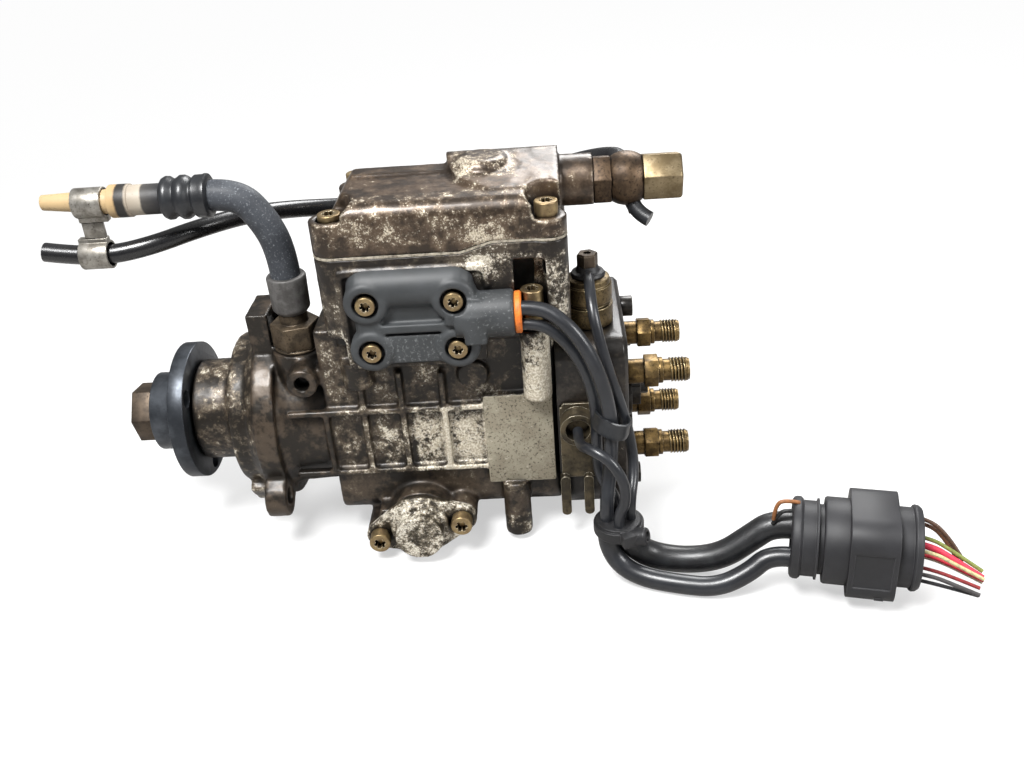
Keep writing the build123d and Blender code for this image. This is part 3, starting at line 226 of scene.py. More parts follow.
def mouldedPlastic(name, look):
    f = Finish(name)
    broad = f.noise(look["blotch"], 4, 0.6)
    grain = f.noise(look["grain"], 3, 0.6, seed=2)
    skin = f.blend(broad.above(0.35, 0.7), look["base"], look["second"])
    worn = (f.edges(look["edge"]) * (0.4 + broad)).above(0.3, 0.7)
    skin = f.blend(worn * look["wear"], skin, look["pale"])
    dust = f.noise(look["dust"], 5, 0.8, seed=9)
    for low, high, more in look.get("regions", ()):
        dust = dust + f.region(low, high, 1.5) * more
    dust = dust.above(look["dustFrom"], look["dustFrom"] + 0.1)
    skin = f.blend(dust * 0.6, skin, look["pale"])
    # painted shade with grime: corners are blended towards the dark colour
    skin = f.blend(f.shelter(3) * 0.7, skin, look["dark"])
    rough = look["rough"] + 0.2 * broad
    return f.shade(skin, rough, 0.0, [(grain, look["bump"], 0.1)], look["edge"])


castHousing = castMetal("castHousing", {
    "base": (0.075, 0.055, 0.038), "dark": (0.018, 0.014, 0.01), "dust": (0.22, 0.18, 0.125),
    "pale": (0.55, 0.48, 0.36), "light": (0.86, 0.81, 0.69), "shadeAndGrimeColour": (0.006, 0.005, 0.004), "blotch": 22,
    "speck": 2.4, "amount": 0.2, "uneven": 0.9, "edge": 1.3, "worn": 0.2, "reach": 9, "shadeAndGrime": 0.55,
    "dusty": 0.75, "wear": 0.95, "rough": 0.3, "metal": 0.35, "bump": 0.5, "oil": 0.2,
    "regions": (
        ((89, -60, -16), (107, -30, 16), 0.26), ((75, -60, -16), (89, -30, 16), 0.17),
        ((60, -60, -16), (75, -30, 4), 0.1), ((45, -60, -16), (60, -30, 16), 0.02),
        ((126, -60, 20), (140, -30, 58), 0.24), ((108, -60, -58), (132, -30, -44), 0.24),
        ((107, -60, -28), (142, -38, 26), 0.16), ((-14, -60, -46), (-2, 60, 46), 0.02),
        ((1, -60, -60), (34, 60, 60), -0.26), ((34, -60, -70), (150, 60, -20), -0.14),
    ),
})
castUpper = castMetal("castUpper", {
    "base": (0.055, 0.042, 0.03), "dark": (0.016, 0.012, 0.009), "dust": (0.17, 0.14, 0.1),
    "pale": (0.5, 0.44, 0.34), "light": (0.82, 0.77, 0.66), "shadeAndGrimeColour": (0.006, 0.005, 0.004), "blotch": 26,
    "speck": 2.2, "amount": 0.17, "uneven": 0.8, "edge": 1.1, "worn": 0.24, "reach": 8, "shadeAndGrime": 0.5,
    "dusty": 0.7, "wear": 0.95, "rough": 0.28, "metal": 0.35, "bump": 0.45, "oil": 0.2, "seed": 4,
    "regions": (((108, -60, 60), (147, -30, 92), 0.17), ((40, -60, 40), (56, -30, 60), 0.16)),
})
castCover = castMetal("castCover", {
    "base": (0.095, 0.064, 0.042), "dark": (0.035, 0.024, 0.016), "dust": (0.22, 0.165, 0.11),
    "pale": (0.54, 0.46, 0.34), "light": (0.84, 0.77, 0.62), "shadeAndGrimeColour": (0.008, 0.006, 0.004), "blotch": 30,
    "speck": 2.0, "amount": 0.13, "uneven": 0.7, "edge": 2.0, "worn": 0.26, "reach": 6, "shadeAndGrime": 0.4,
    "dusty": 0.6, "wear": 0.9, "rough": 0.24, "metal": 0.45, "bump": 0.35, "oil": 0.3, "seed": 8,
    # the first box (front rounding) and the second (top bump) add pale dust specks and a painted highlight
    "regions": (((34, -46, 100), (150, -34, 125), 0.12), ((102, -22, 110), (128, 6, 126), 0.16)),
})
castPale = castMetal("castPale", {
    "base": (0.1, 0.08, 0.055), "dark": (0.03, 0.024, 0.017), "dust": (0.34, 0.29, 0.21),
    "pale": (0.62, 0.56, 0.45), "light": (0.9, 0.86, 0.76), "shadeAndGrimeColour": (0.007, 0.006, 0.004), "blotch": 14,
    "speck": 2.2, "amount": 0.33, "uneven": 0.7, "edge": 1.0, "worn": 0.15, "reach": 5, "shadeAndGrime": 0.6,
    "dusty": 0.8, "wear": 0.95, "rough": 0.32, "metal": 0.4, "bump": 0.5, "oil": 0.1, "seed": 2,
    "regions": (((60, -47, -64), (86, -34, -20), -0.22),),
})
headSteel = castMetal("headSteel", {
    "base": (0.035, 0.028, 0.022), "dark": (0.012, 0.01, 0.008), "dust": (0.1, 0.085, 0.065),
    "pale": (0.34, 0.29, 0.22), "light": (0.66, 0.6, 0.48), "shadeAndGrimeColour": (0.005, 0.004, 0.003), "blotch": 16,
    "speck": 1.8, "amount": 0.1, "uneven": 0.6, "edge": 0.8, "worn": 0.25, "reach": 6, "shadeAndGrime": 0.5,
    "dusty": 0.5, "wear": 0.8, "rough": 0.26, "metal": 0.4, "bump": 0.3, "oil": 0.3, "seed": 6,
})
hubSteel = turnedMetal("hubSteel", {
    "base": (0.045, 0.05, 0.058), "second": (0.1, 0.11, 0.125), "stain": (0.03, 0.03, 0.032),
    "stainFrom": 0.62, "pale": (0.34, 0.36, 0.39), "shadeAndGrimeColour": (0.006, 0.006, 0.006), "blotch": 14,
    "edge": 0.6, "wear": 0.6, "reach": 5, "shadeAndGrime": 0.9, "rough": 0.26, "metal": 0.75, "bump": 0.12,
})
nutSteel = turnedMetal("nutSteel", {
    "base": (0.11, 0.082, 0.058), "second": (0.05, 0.038, 0.028), "stain": (0.022, 0.016, 0.011),
    "stainFrom": 0.56, "pale": (0.48, 0.4, 0.3), "shadeAndGrimeColour": (0.007, 0.005, 0.004), "blotch": 10,
    "edge": 0.6, "wear": 0.8, "reach": 4, "shadeAndGrime": 0.9, "rough": 0.36, "metal": 0.7, "bump": 0.2,
})
zincScrew = turnedMetal("zincScrew", {
    "base": (0.44, 0.33, 0.17), "second": (0.28, 0.2, 0.11), "stain": (0.06, 0.042, 0.024),
    "stainFrom": 0.56, "pale": (0.9, 0.8, 0.6), "shadeAndGrimeColour": (0.008, 0.006, 0.004), "blotch": 4,
    "edge": 0.4, "wear": 0.8, "reach": 2.5, "shadeAndGrime": 1.1, "rough": 0.26, "metal": 0.85, "bump": 0.12,
})
outletBrass = turnedMetal("outletBrass", {
    "base": (0.26, 0.17, 0.065), "second": (0.1, 0.066, 0.03), "stain": (0.025, 0.017, 0.009),
    "stainFrom": 0.52, "pale": (0.88, 0.7, 0.38), "shadeAndGrimeColour": (0.007, 0.005, 0.003), "blotch": 5,
    "edge": 0.4, "wear": 0.8, "reach": 3, "shadeAndGrime": 1.2, "rough": 0.26, "metal": 0.85, "bump": 0.15,
})
inletSteel = turnedMetal("inletSteel", {
    "base": (0.14, 0.105, 0.068), "second": (0.06, 0.045, 0.03), "stain": (0.022, 0.016, 0.011),
    "stainFrom": 0.52, "pale": (0.62, 0.53, 0.38), "shadeAndGrimeColour": (0.006, 0.005, 0.004), "blotch": 6,
    "edge": 0.5, "wear": 0.8, "reach": 4, "shadeAndGrime": 1.1, "rough": 0.36, "metal": 0.65, "bump": 0.25,
})
ferruleGrey = turnedMetal("ferruleGrey", {
    "base": (0.16, 0.155, 0.15), "second": (0.09, 0.086, 0.082), "stain": (0.03, 0.027, 0.024),
    "stainFrom": 0.58, "pale": (0.45, 0.43, 0.4), "shadeAndGrimeColour": (0.008, 0.007, 0.006), "blotch": 6,
    "edge": 0.4, "wear": 0.6, "reach": 4, "shadeAndGrime": 1.0, "rough": 0.42, "metal": 0.55, "bump": 0.2,
})
rustSteel = turnedMetal("rustSteel", {
    "base": (0.12, 0.078, 0.046), "second": (0.05, 0.032, 0.019), "stain": (0.02, 0.013, 0.008),
    "stainFrom": 0.5, "pale": (0.6, 0.48, 0.32), "shadeAndGrimeColour": (0.006, 0.004, 0.003), "blotch": 7,
    "edge": 0.7, "wear": 0.85, "reach": 5, "shadeAndGrime": 1.1, "rough": 0.34, "metal": 0.65, "bump": 0.35,
})
capBrass = turnedMetal("capBrass", {
    "base": (0.17, 0.125, 0.066), "second": (0.3, 0.235, 0.14), "stain": (0.05, 0.034, 0.019),
    "stainFrom": 0.56, "pale": (0.84, 0.74, 0.52), "shadeAndGrimeColour": (0.008, 0.006, 0.004), "blotch": 7,
    "edge": 0.5, "wear": 0.85, "reach": 4, "shadeAndGrime": 0.9, "rough": 0.28, "metal": 0.8, "bump": 0.2,
})
bracketZinc = turnedMetal("bracketZinc", {
    "base": (0.13, 0.105, 0.065), "second": (0.05, 0.042, 0.03), "stain": (0.022, 0.017, 0.011),
    "stainFrom": 0.54, "pale": (0.86, 0.78, 0.6), "shadeAndGrimeColour": (0.007, 0.005, 0.004), "blotch": 8,
    "edge": 0.4, "wear": 0.8, "reach": 3, "shadeAndGrime": 1.1, "rough": 0.3, "metal": 0.75, "bump": 0.15,
})
clipSteel = turnedMetal("clipSteel", {
    "base": (0.2, 0.185, 0.16), "second": (0.42, 0.4, 0.36), "stain": (0.05, 0.038, 0.026),
    "stainFrom": 0.54, "pale": (0.92, 0.9, 0.85), "shadeAndGrimeColour": (0.008, 0.006, 0.005), "blotch": 6,
    "edge": 0.3, "wear": 0.8, "reach": 3, "shadeAndGrime": 1.1, "rough": 0.3, "metal": 0.8, "bump": 0.2,
})
innerSteel = turnedMetal("innerSteel", {
    "base": (0.5, 0.5, 0.49), "second": (0.62, 0.62, 0.61), "stain": (0.3, 0.28, 0.25),
    "stainFrom": 0.66, "pale": (0.8, 0.8, 0.79), "shadeAndGrimeColour": (0.1, 0.085, 0.06), "blotch": 8, "edge": 0.3,
    "wear": 0.6, "reach": 4, "shadeAndGrime": 0.8, "rough": 0.22, "metal": 0.9, "bump": 0.05,
})
plugPlastic = mouldedPlastic("plugPlastic", {
    "base": (0.036, 0.039, 0.041), "second": (0.05, 0.054, 0.057), "dark": (0.007, 0.007, 0.008),
    "pale": (0.24, 0.25, 0.25), "blotch": 14, "grain": 0.5, "dust": 1.6, "dustFrom": 0.68, "edge": 0.9,
    "wear": 0.28, "rough": 0.42, "bump": 0.3,
    "regions": (((69, -60, 48), (93, -40, 60), 0.15), ((106, -60, 56), (126, -30, 80), 0.12)),
})
connectorPlastic = mouldedPlastic("connectorPlastic", {
    "base": (0.017, 0.017, 0.019), "second": (0.024, 0.024, 0.027), "dark": (0.004, 0.004, 0.005),
    "pale": (0.18, 0.18, 0.19), "blotch": 20, "grain": 0.35, "dust": 1.8, "dustFrom": 0.72, "edge": 0.7,
    "wear": 0.3, "rough": 0.42, "bump": 0.25,
})
blackPlastic = mouldedPlastic("blackPlastic", {
    "base": (0.012, 0.012, 0.013), "second": (0.02, 0.02, 0.022), "dark": (0.006, 0.006, 0.007),
    "pale": (0.12, 0.12, 0.12), "blotch": 10, "grain": 0.4, "dust": 1.4, "dustFrom": 0.72, "edge": 0.5,
    "wear": 0.25, "rough": 0.36, "bump": 0.2,
})


def hoseRubber(name, look):
    # rubber with a worn bloom on top and a thin gloss over it
    f = Finish(name)
    broad = f.noise(look["blotch"], 4, 0.6)
    fine = f.noise(look["grain"], 4, 0.75, seed=2)
    skin = f.blend(broad.above(0.35, 0.7), look["base"], look["second"])
    skin = f.blend(
        fine.above(look["dustFrom"], look["dustFrom"] + 0.12) * look["dust"], skin, look["pale"]
    )
    rough = look["rough"] + 0.25 * fine
    return f.shade(
        skin, rough, 0.0, [(fine, look["bump"], 0.25)], 0.0, Coat_Weight=look["coat"], Coat_Roughness=0.25
    )


wovenHose = hoseRubber("wovenHose", {
    "base": (0.03, 0.034, 0.042), "second": (0.05, 0.056, 0.066), "pale": (0.3, 0.32, 0.34),
    "blotch": 12, "grain": 0.9, "dustFrom": 0.56, "dust": 0.6, "rough": 0.5, "bump": 0.5, "coat": 0.05,
})
glossHose = hoseRubber("glossHose", {
    "base": (0.006, 0.006, 0.007), "second": (0.01, 0.01, 0.011), "pale": (0.1, 0.095, 0.085),
    "blotch": 14, "grain": 1.6, "dustFrom": 0.68, "dust": 0.5, "rough": 0.16, "bump": 0.15, "coat": 0.5,
})
cableJacket = hoseRubber("cableJacket", {
    "base": (0.012, 0.013, 0.016), "second": (0.022, 0.024, 0.028), "pale": (0.12, 0.12, 0.12),
    "blotch": 16, "grain": 1.3, "dustFrom": 0.68, "dust": 0.4, "rough": 0.24, "bump": 0.12, "coat": 0.35,
})
tapeSleeve = hoseRubber("tapeSleeve", {
    "base": (0.01, 0.01, 0.011), "second": (0.02, 0.021, 0.023), "pale": (0.15, 0.15, 0.15),
    "blotch": 6, "grain": 1.1, "dustFrom": 0.62, "dust": 0.5, "rough": 0.26, "bump": 0.6, "coat": 0.35,
})
bootRubber = hoseRubber("bootRubber", {
    "base": (0.01, 0.011, 0.013), "second": (0.018, 0.02, 0.023), "pale": (0.1, 0.105, 0.11),
    "blotch": 9, "grain": 1.2, "dustFrom": 0.66, "dust": 0.45, "rough": 0.28, "bump": 0.25, "coat": 0.4,
})


def sheetPlate(name, look):
    # thin bare plate, printed grey long ago and now speckled; nothing legible is on it
    f = Finish(name)
    broad = f.noise(14, 4, 0.6, seed=3)
    speck = f.noise(1.1, 5, 0.8, seed=1)
    flake = f.noise(3.4, 4, 0.7, seed=5)
    skin = f.blend(broad.above(0.4, 0.65), look["base"], look["second"])
    skin = f.blend(speck.above(0.55, 0.6) * 0.9, skin, look["dark"])
    skin = f.blend(flake.above(0.62, 0.68) * 0.8, skin, look["pale"])
    # painted shade with grime: corners are blended towards the dark colour
    skin = f.blend(f.shelter(2.5) * 0.9, skin, look["dark"])
    return f.shade(skin, 0.36 + 0.3 * speck, 0.45, [(speck, 0.25, 0.1)], 0.4)


nameMetal = sheetPlate("nameMetal", {
    "base": (0.36, 0.32, 0.24), "second": (0.47, 0.43, 0.33), "pale": (0.68, 0.63, 0.51),
    "dark": (0.045, 0.036, 0.026),
})


def bandedCoupling(name):
    # amber, black, beige and grey bands along X, as the joint of the feed line has
    f = Finish(name)
    along = f.axis(0)
    fine = f.noise(1.2, 4, 0.75)
    blotch = f.noise(5, 4, 0.65, seed=4)
    share = (along * 1000 + 47 + blotch * 1.5) * (1 / 23)
    ramp = f.add(
        "ShaderNodeValToRGB",
        {"stops": [
            (0.0, (0.5, 0.36, 0.19)), (0.17, (0.44, 0.3, 0.15)), (0.21, (0.018, 0.016, 0.014)),
            (0.36, (0.022, 0.02, 0.018)), (0.4, (0.33, 0.28, 0.22)), (0.66, (0.4, 0.35, 0.28)),
            (0.7, (0.05, 0.046, 0.042)), (1.0, (0.018, 0.018, 0.02)),
        ]},
        {"Fac": share},
    )
    skin = f.blend(fine.above(0.6, 0.7) * 0.55, ramp, (0.1, 0.08, 0.06))
    return f.shade(skin, 0.4 + 0.25 * fine, 0.0, [(fine, 0.3, 0.15)], 0.4)


def amberPlastic(name):
    f = Finish(name)
    along = f.axis(0)
    fine = f.noise(2.5, 4, 0.7)
    burn = (along * 1000 + 66 + fine * 6).above(0, 12)
    skin = f.blend(fine.above(0.4, 0.7), (0.7, 0.42, 0.17), (0.82, 0.6, 0.34))
    skin = f.blend(burn * 0.9, skin, (0.3, 0.1, 0.02))
    bumps = [(fine, 0.1, 0.1)]
    return f.shade(
        skin, 0.22 + 0.2 * fine, 0.0, bumps, 0.3, Subsurface_Weight=0.25,
        Subsurface_Radius=(0.004, 0.002, 0.001)
    )


def sealRubber(name, colour, dark):
    f = Finish(name)
    fine = f.noise(1.8, 4, 0.7)
    skin = f.blend(fine.above(0.4, 0.7), colour, dark)
    return f.shade(skin, 0.4 + 0.2 * fine, 0.0, [(fine, 0.15, 0.1)], 0.3)


coupledBands = bandedCoupling("coupledBands")
amberTube = amberPlastic("amberTube")
orangeSeal = sealRubber("orangeSeal", (0.85, 0.22, 0.03), (0.55, 0.12, 0.02))
gasketFibre = sealRubber("gasketFibre", (0.42, 0.38, 0.3), (0.1, 0.08, 0.06))
shutoffBronze = turnedMetal("shutoffBronze", {
    "base": (0.1, 0.072, 0.036), "second": (0.2, 0.145, 0.07), "stain": (0.025, 0.018, 0.01),
    "stainFrom": 0.5, "pale": (0.78, 0.64, 0.38), "shadeAndGrimeColour": (0.008, 0.006, 0.004), "blotch": 7,
    "edge": 0.5, "wear": 0.85, "reach": 3, "shadeAndGrime": 1.0, "rough": 0.28, "metal": 0.75, "bump": 0.2,
})
print("materials ready:", len(bpy.data.materials))

slotFinish = {
    "cast_housing": castHousing, "cast_cover": castCover, "timing_cover_cast": castPale,
    "head_steel": headSteel, "bright_steel": innerSteel, "hub_steel": hubSteel, "nut_steel": nutSteel,
    "zinc_screw": zincScrew, "outlet_brass": outletBrass, "bearing_bronze": capBrass,
    "inlet_steel": inletSteel, "ferrule_grey": ferruleGrey, "hose_rubber": wovenHose,
    "boot_rubber": bootRubber, "amber_plastic": amberTube, "gloss_hose": glossHose,
    "clip_steel": clipSteel, "gasket_fibre": gasketFibre, "stator_iron": innerSteel,
    "plug_plastic": plugPlastic, "plate_metal": nameMetal, "return_steel": rustSteel,
    "cap_brass": capBrass, "shutoff_metal": outletBrass, "solenoid_steel": inletSteel,
    "bracket_steel": bracketZinc, "cable_jacket": cableJacket, "sleeve_fabric": tapeSleeve,
    "connector_plastic": connectorPlastic, "wire_colours": orangeSeal,
}


def paint(piece, finish):
    piece.data.materials.clear()
    piece.data.materials.append(finish)


for nodeName, nodeObject in nodes.items():
    paint(nodeObject, slotFinish[slotOf[nodeName]])


def only(piece):
    bpy.ops.object.select_all(action="DESELECT")
    piece.select_set(True)
    bpy.context.view_layer.objects.active = piece


def seat(piece, name, node, finish, stands=True):
    # names a finished piece, puts its place into its mesh and ties it to the frame
    only(piece)
    bpy.ops.object.transform_apply(location=True, rotation=True, scale=True)
    piece.name = name
    paint(piece, finish)
    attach(piece, bodyOf[node])
    if stands:
        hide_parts(node)


def openWhole(piece):
    # edit mode with the whole mesh selected
    only(piece)
    bpy.ops.object.mode_set(mode="EDIT")
    bpy.ops.mesh.select_all(action="SELECT")


def mergedCopy(node):
    # a clean copy of a CAD node's triangles: doubles merged, flat faces made whole
    piece = bpy.data.objects.new(node + "Copy", nodes[node].data.copy())
    bpy.context.scene.collection.objects.link(piece)
    openWhole(piece)
    bpy.ops.mesh.remove_doubles(threshold=2e-6)
    bpy.ops.mesh.dissolve_limited(angle_limit=math.radians(1))
    bpy.ops.object.mode_set(mode="OBJECT")
    return piece


def applied(piece, kind, **settings):
    only(piece)
    modifier = piece.modifiers.new(kind.title(), kind)
    for key, value in settings.items():
        setattr(modifier, key, value)
    bpy.ops.object.modifier_apply(modifier=modifier.name)


def melted(piece, voxel):
    applied(piece, "REMESH", mode="VOXEL", voxel_size=voxel * mm, adaptivity=0)


def softEdges(piece, width, segments=2, angle=35):
    applied(piece, "BEVEL", width=width * mm, segments=segments, limit_method="ANGLE",
            angle_limit=math.radians(angle), use_clamp_overlap=True, miter_outer="MITER_ARC")
    only(piece)
    bpy.ops.object.shade_smooth_by_angle(angle=math.radians(40))


def pick(piece, part, test):
    # selects the faces, edges or vertices for which the test holds, then opens edit mode
    openWhole(piece)
    bpy.ops.mesh.select_all(action="DESELECT")
    bpy.ops.object.mode_set(mode="OBJECT")
    mesh = piece.data
    for item in getattr(mesh, part):
        if part == "polygons":
            item.select = test(item.center, item.normal)
        elif part == "edges":
            ends = [mesh.vertices[i].co for i in item.vertices]
            item.select = all(test(end) for end in ends)
        else:
            item.select = test(item.co)
    bpy.ops.object.mode_set(mode="EDIT")
    bpy.ops.mesh.select_mode(type={"polygons": "FACE", "edges": "EDGE", "vertices": "VERT"}[part])


def done():
    bpy.ops.mesh.select_mode(type="VERT")
    bpy.ops.object.mode_set(mode="OBJECT")


def freshCylinder(radius, depth, place, sides=48, turn=(0, 0, 0)):
    bpy.ops.object.select_all(action="DESELECT")
    bpy.ops.mesh.primitive_cylinder_add(
        vertices=sides, radius=radius * mm, depth=depth * mm, location=[v * mm for v in place],
        rotation=[math.radians(v) for v in turn],
    )
    piece = bpy.context.active_object
    bpy.ops.object.transform_apply(location=True, rotation=True, scale=True)
    return piece


def freshBox(size, place, turn=(0, 0, 0)):
    bpy.ops.object.select_all(action="DESELECT")
    bpy.ops.mesh.primitive_cube_add(
        size=1, location=[v * mm for v in place], rotation=[math.radians(v) for v in turn]
    )
    piece = bpy.context.active_object
    piece.scale = [v * mm for v in size]
    bpy.ops.object.transform_apply(location=True, rotation=True, scale=True)
    return piece


def joined(*parts):
    bpy.ops.object.select_all(action="DESELECT")
    for part in parts:
        part.select_set(True)
    bpy.context.view_layer.objects.active = parts[0]
    bpy.ops.object.join()
    return parts[0]


def aimed(piece, spot, along, spin=0):
    # turns the piece's +Z to the given direction and moves it to its spot
    turn = Vector(along).to_track_quat("Z", "Y").to_matrix().to_4x4()
    rolled = Matrix.Rotation(math.radians(spin), 4, "Z")
    piece.matrix_world = Matrix.Translation(Vector(spot) * mm) @ turn @ rolled
    only(piece)
    bpy.ops.object.transform_apply(location=True, rotation=True, scale=True)
    return piece


def placedCopy(model, spot, along, spin=0):
    # a copy with its own mesh, its +Z laid along the given direction
    piece = model.copy()
    piece.data = model.data.copy()
    bpy.context.scene.collection.objects.link(piece)
    return aimed(piece, spot, along, spin)


def pushed(x, y, z):
    # extrudes what is selected by a step in millimetres
    bpy.ops.mesh.extrude_region_move(TRANSFORM_OT_translate={"value": (x * mm, y * mm, z * mm)})


def outward(piece):
    openWhole(piece)
    bpy.ops.mesh.remove_doubles(threshold=1e-6)
    bpy.ops.mesh.normals_make_consistent(inside=False)
    bpy.ops.object.mode_set(mode="OBJECT")
    return piece


def lathe(profile, spot=(0, 0, 0), along=(0, 0, 1), sides=64):
    # a line of (height, radius) pairs, turned about its axis; a ring's line ends where it starts
    bpy.ops.object.select_all(action="DESELECT")
    bpy.ops.mesh.primitive_plane_add(size=mm, location=(0, 0, 0))
    piece = bpy.context.active_object
    openWhole(piece)
    bpy.ops.mesh.merge(type="CENTER")
    bpy.ops.mesh.select_all(action="SELECT")
    bpy.ops.transform.translate(value=(profile[0][1] * mm, 0, profile[0][0] * mm))
    for (z0, r0), (z1, r1) in zip(profile, profile[1:]):
        pushed(r1 - r0, 0, z1 - z0)
    bpy.ops.mesh.select_all(action="SELECT")
    bpy.ops.mesh.remove_doubles(threshold=1e-6)
    bpy.ops.object.mode_set(mode="OBJECT")
    applied(piece, "SCREW", axis="Z", angle=math.radians(360), steps=sides, render_steps=sides,
            use_merge_vertices=True, merge_threshold=1e-6)
    outward(piece)
    bpy.ops.object.shade_smooth_by_angle(angle=math.radians(35))
    return aimed(piece, spot, along)


def castForm(node, look, extra=()):
    # a casting: its forms melted into one by a fine remesh, then the uneven skin of sand casting
    piece = mergedCopy(node)
    if node in reshaped:
        reshaped[node](piece)
    if extra:
        piece = joined(piece, *extra)
    melted(piece, look["voxel"])
    applied(piece, "SMOOTH", factor=0.5, iterations=look["smooth"])
    pitting = bpy.data.textures.new(node + "Skin", "CLOUDS")
    pitting.noise_scale = look["pit"] * mm
    applied(piece, "DISPLACE", texture=pitting, texture_coords="LOCAL",
            strength=look["depth"] * mm, mid_level=0.5)
    applied(piece, "DECIMATE", ratio=look["keep"])
    only(piece)
    bpy.ops.object.shade_smooth()
    return piece


def housingForms():
    # the round barrel in front of the flange plate and the web under it
    barrel = lathe([
        (-13.5, 27), (-14.2, 35), (-13.4, 36.8), (-12, 37.6), (-3, 37.9), (0.4, 38.2), (0.4, 27),
        (-13.5, 27),
    ], (0, 0, 0), (1, 0, 0), 72)
    web = freshBox((11, 9, 16), (-6.2, -23, -33), (40, 0, 0))
    return [barrel, web]


stubLook = {"below": 90.5, "back": (-2.4, 4.2, 8)}
tipLook = {"before": -76.5, "middle": (-77.5, -20, 117.5), "narrow": 0.62, "lift": 1.2}


def stubCut(piece):
    # the leak stub ends inside its torn hose
    pick(piece, "vertices", lambda v: v.z < stubLook["below"] * mm)
    bpy.ops.transform.translate(value=[v * mm for v in stubLook["back"]])
    done()


def tubeTip(piece):
    # the amber tube's open end is drawn in and lifted a little
    pick(piece, "vertices", lambda v: v.x < tipLook["before"] * mm)
    middle = [v * mm for v in tipLook["middle"]]
    bpy.ops.transform.resize(value=(1, tipLook["narrow"], tipLook["narrow"]), center_override=middle)
    bpy.ops.transform.translate(value=(0, 0, tipLook["lift"] * mm))
    done()


extraForms = {"pump_housing": housingForms}
reshaped = {"return_banjo": stubCut, "feed_tube": tubeTip}
castings = {
    "pump_housing": {
        "voxel": 0.95, "smooth": 2, "pit": 5, "depth": 0.35, "keep": 0.6, "finish": castHousing
    },
    "adjuster_housing": {
        "voxel": 0.8, "smooth": 2, "pit": 5, "depth": 0.3, "keep": 0.6, "finish": castUpper
    },
    "adjuster_cover": {
        "voxel": 0.75, "smooth": 3, "pit": 6, "depth": 0.3, "keep": 0.6, "finish": castCover
    },
    "timing_covers": {
        "voxel": 0.55, "smooth": 3, "pit": 3, "depth": 0.25, "keep": 0.7, "finish": castPale
    },
    "return_banjo": {
        "voxel": 0.45, "smooth": 5, "pit": 4, "depth": 0.3, "keep": 0.6, "finish": rustSteel
    },
}
for node, look in castings.items():
    extra = extraForms[node]() if node in extraForms else ()
    shaped = castForm(node, look, extra)
    seat(shaped, node + "Cast", node, look["finish"])
    print("casting", node, len(shaped.data.polygons), "faces")

turnedPieces = {
    "hub": (0.7, hubSteel), "hub_nut_and_key": (0.5, nutSteel), "distributor_head": (1.2, headSteel),
    "hose_ferrule": (0.4, ferruleGrey), "return_valve": (0.5, rustSteel),
    "return_cap_nut": (0.5, capBrass), "timing_solenoid": (0.5, inletSteel),
    "cable_bracket": (0.3, bracketZinc), "name_plate": (0.2, nameMetal),
    "inlet_union": (0.5, inletSteel), "feed_tube": (0.3, coupledBands), "hose_clips": (0.3, clipSteel),
    "head_plug_and_screws": (0.4, headSteel),
}
for node, (width, finish) in turnedPieces.items():
    shaped = mergedCopy(node)
    if node in reshaped:
        reshaped[node](shaped)
    softEdges(shaped, width)
    seat(shaped, node + "Dressed", node, finish)
print("dressed pieces:", len(turnedPieces))


def lobedScrew(look):
    # head with a rounded rim and a six-lobed socket; its seat is at z 0
    piece = freshCylinder(look["radius"], look["height"], (0, 0, look["height"] / 2))
    top = look["height"] * mm
    pick(piece, "polygons", lambda c, n: n.z > 0.9)
    bpy.ops.mesh.inset(thickness=look["rim"] * mm)
    bpy.ops.mesh.inset(thickness=(look["radius"] - look["rim"] - look["socket"]) * mm)
    done()
    lobe = look["socket"] * mm

    def betweenLobes(v):
        onRing = v.z > top - 1e-6 and v.xy.length < lobe * 1.03
        return onRing and math.cos(6 * math.atan2(v.y, v.x)) < -0.2

    pick(piece, "vertices", betweenLobes)
    bpy.ops.transform.resize(value=(look["waist"], look["waist"], 1), center_override=(0, 0, top))
    done()
    pick(piece, "polygons", lambda c, n: n.z > 0.9 and c.xy.length < 1e-5)
    pushed(0, 0, -look["deep"])
    done()
    outer = look["radius"] * mm
    pick(piece, "edges", lambda v: v.z > top - 1e-6 and v.xy.length > outer * 0.99)
    bpy.ops.mesh.bevel(offset=look["round"] * mm, segments=3, affect="EDGES")
    done()
    only(piece)
    bpy.ops.object.shade_smooth_by_angle(angle=math.radians(35))
    return piece


coverHead = lobedScrew({
    "radius": 5, "height": 6, "rim": 0.9, "socket": 2.9, "waist": 0.74, "deep": 3.0, "round": 0.5,
})
plugHead = lobedScrew({
    "radius": 4.2, "height": 4.6, "rim": 0.8, "socket": 2.3, "waist": 0.74, "deep": 2.4, "round": 0.4,
})
sideHead = lobedScrew({
    "radius": 5, "height": 14.5, "rim": 0.9, "socket": 2.9, "waist": 0.74, "deep": 3.4, "round": 0.5,
})
timingFace = 50
plugScrewY = -49.5
plugBosses = [(62.8, 76.1), (100.2, 76.1), (62.8, 53.7), (100.2, 53.7)]
shutoffPlace = (158, -15)
cableOutlet = (100, -48, 67.5)
outletLong = 25.5
screwPlaces = [
    (coverHead, (50, -36, 106), (0, 0, 1), 10), (coverHead, (50, 36, 100), (0, 0, 1), 25),
    (coverHead, (141, -38, 107), (0, 0, 1), 5), (coverHead, (141, 38, 100), (0, 0, 1), 40),
    (sideHead, (133, -42, 61), (0, 0, 1), 12),
]
for (x, z), spin in zip(plugBosses, (8, 20, 31, 3)):
    screwPlaces.append((plugHead, (x, plugScrewY, z), (0, -1, 0), spin))
for side in (-1, 1):
    for x, z, spin in ((53.4, -47, 14), (93.2, -39, 2)):
        screwPlaces.append((coverHead, (x, side * timingFace, z), (0, side, 0), spin))
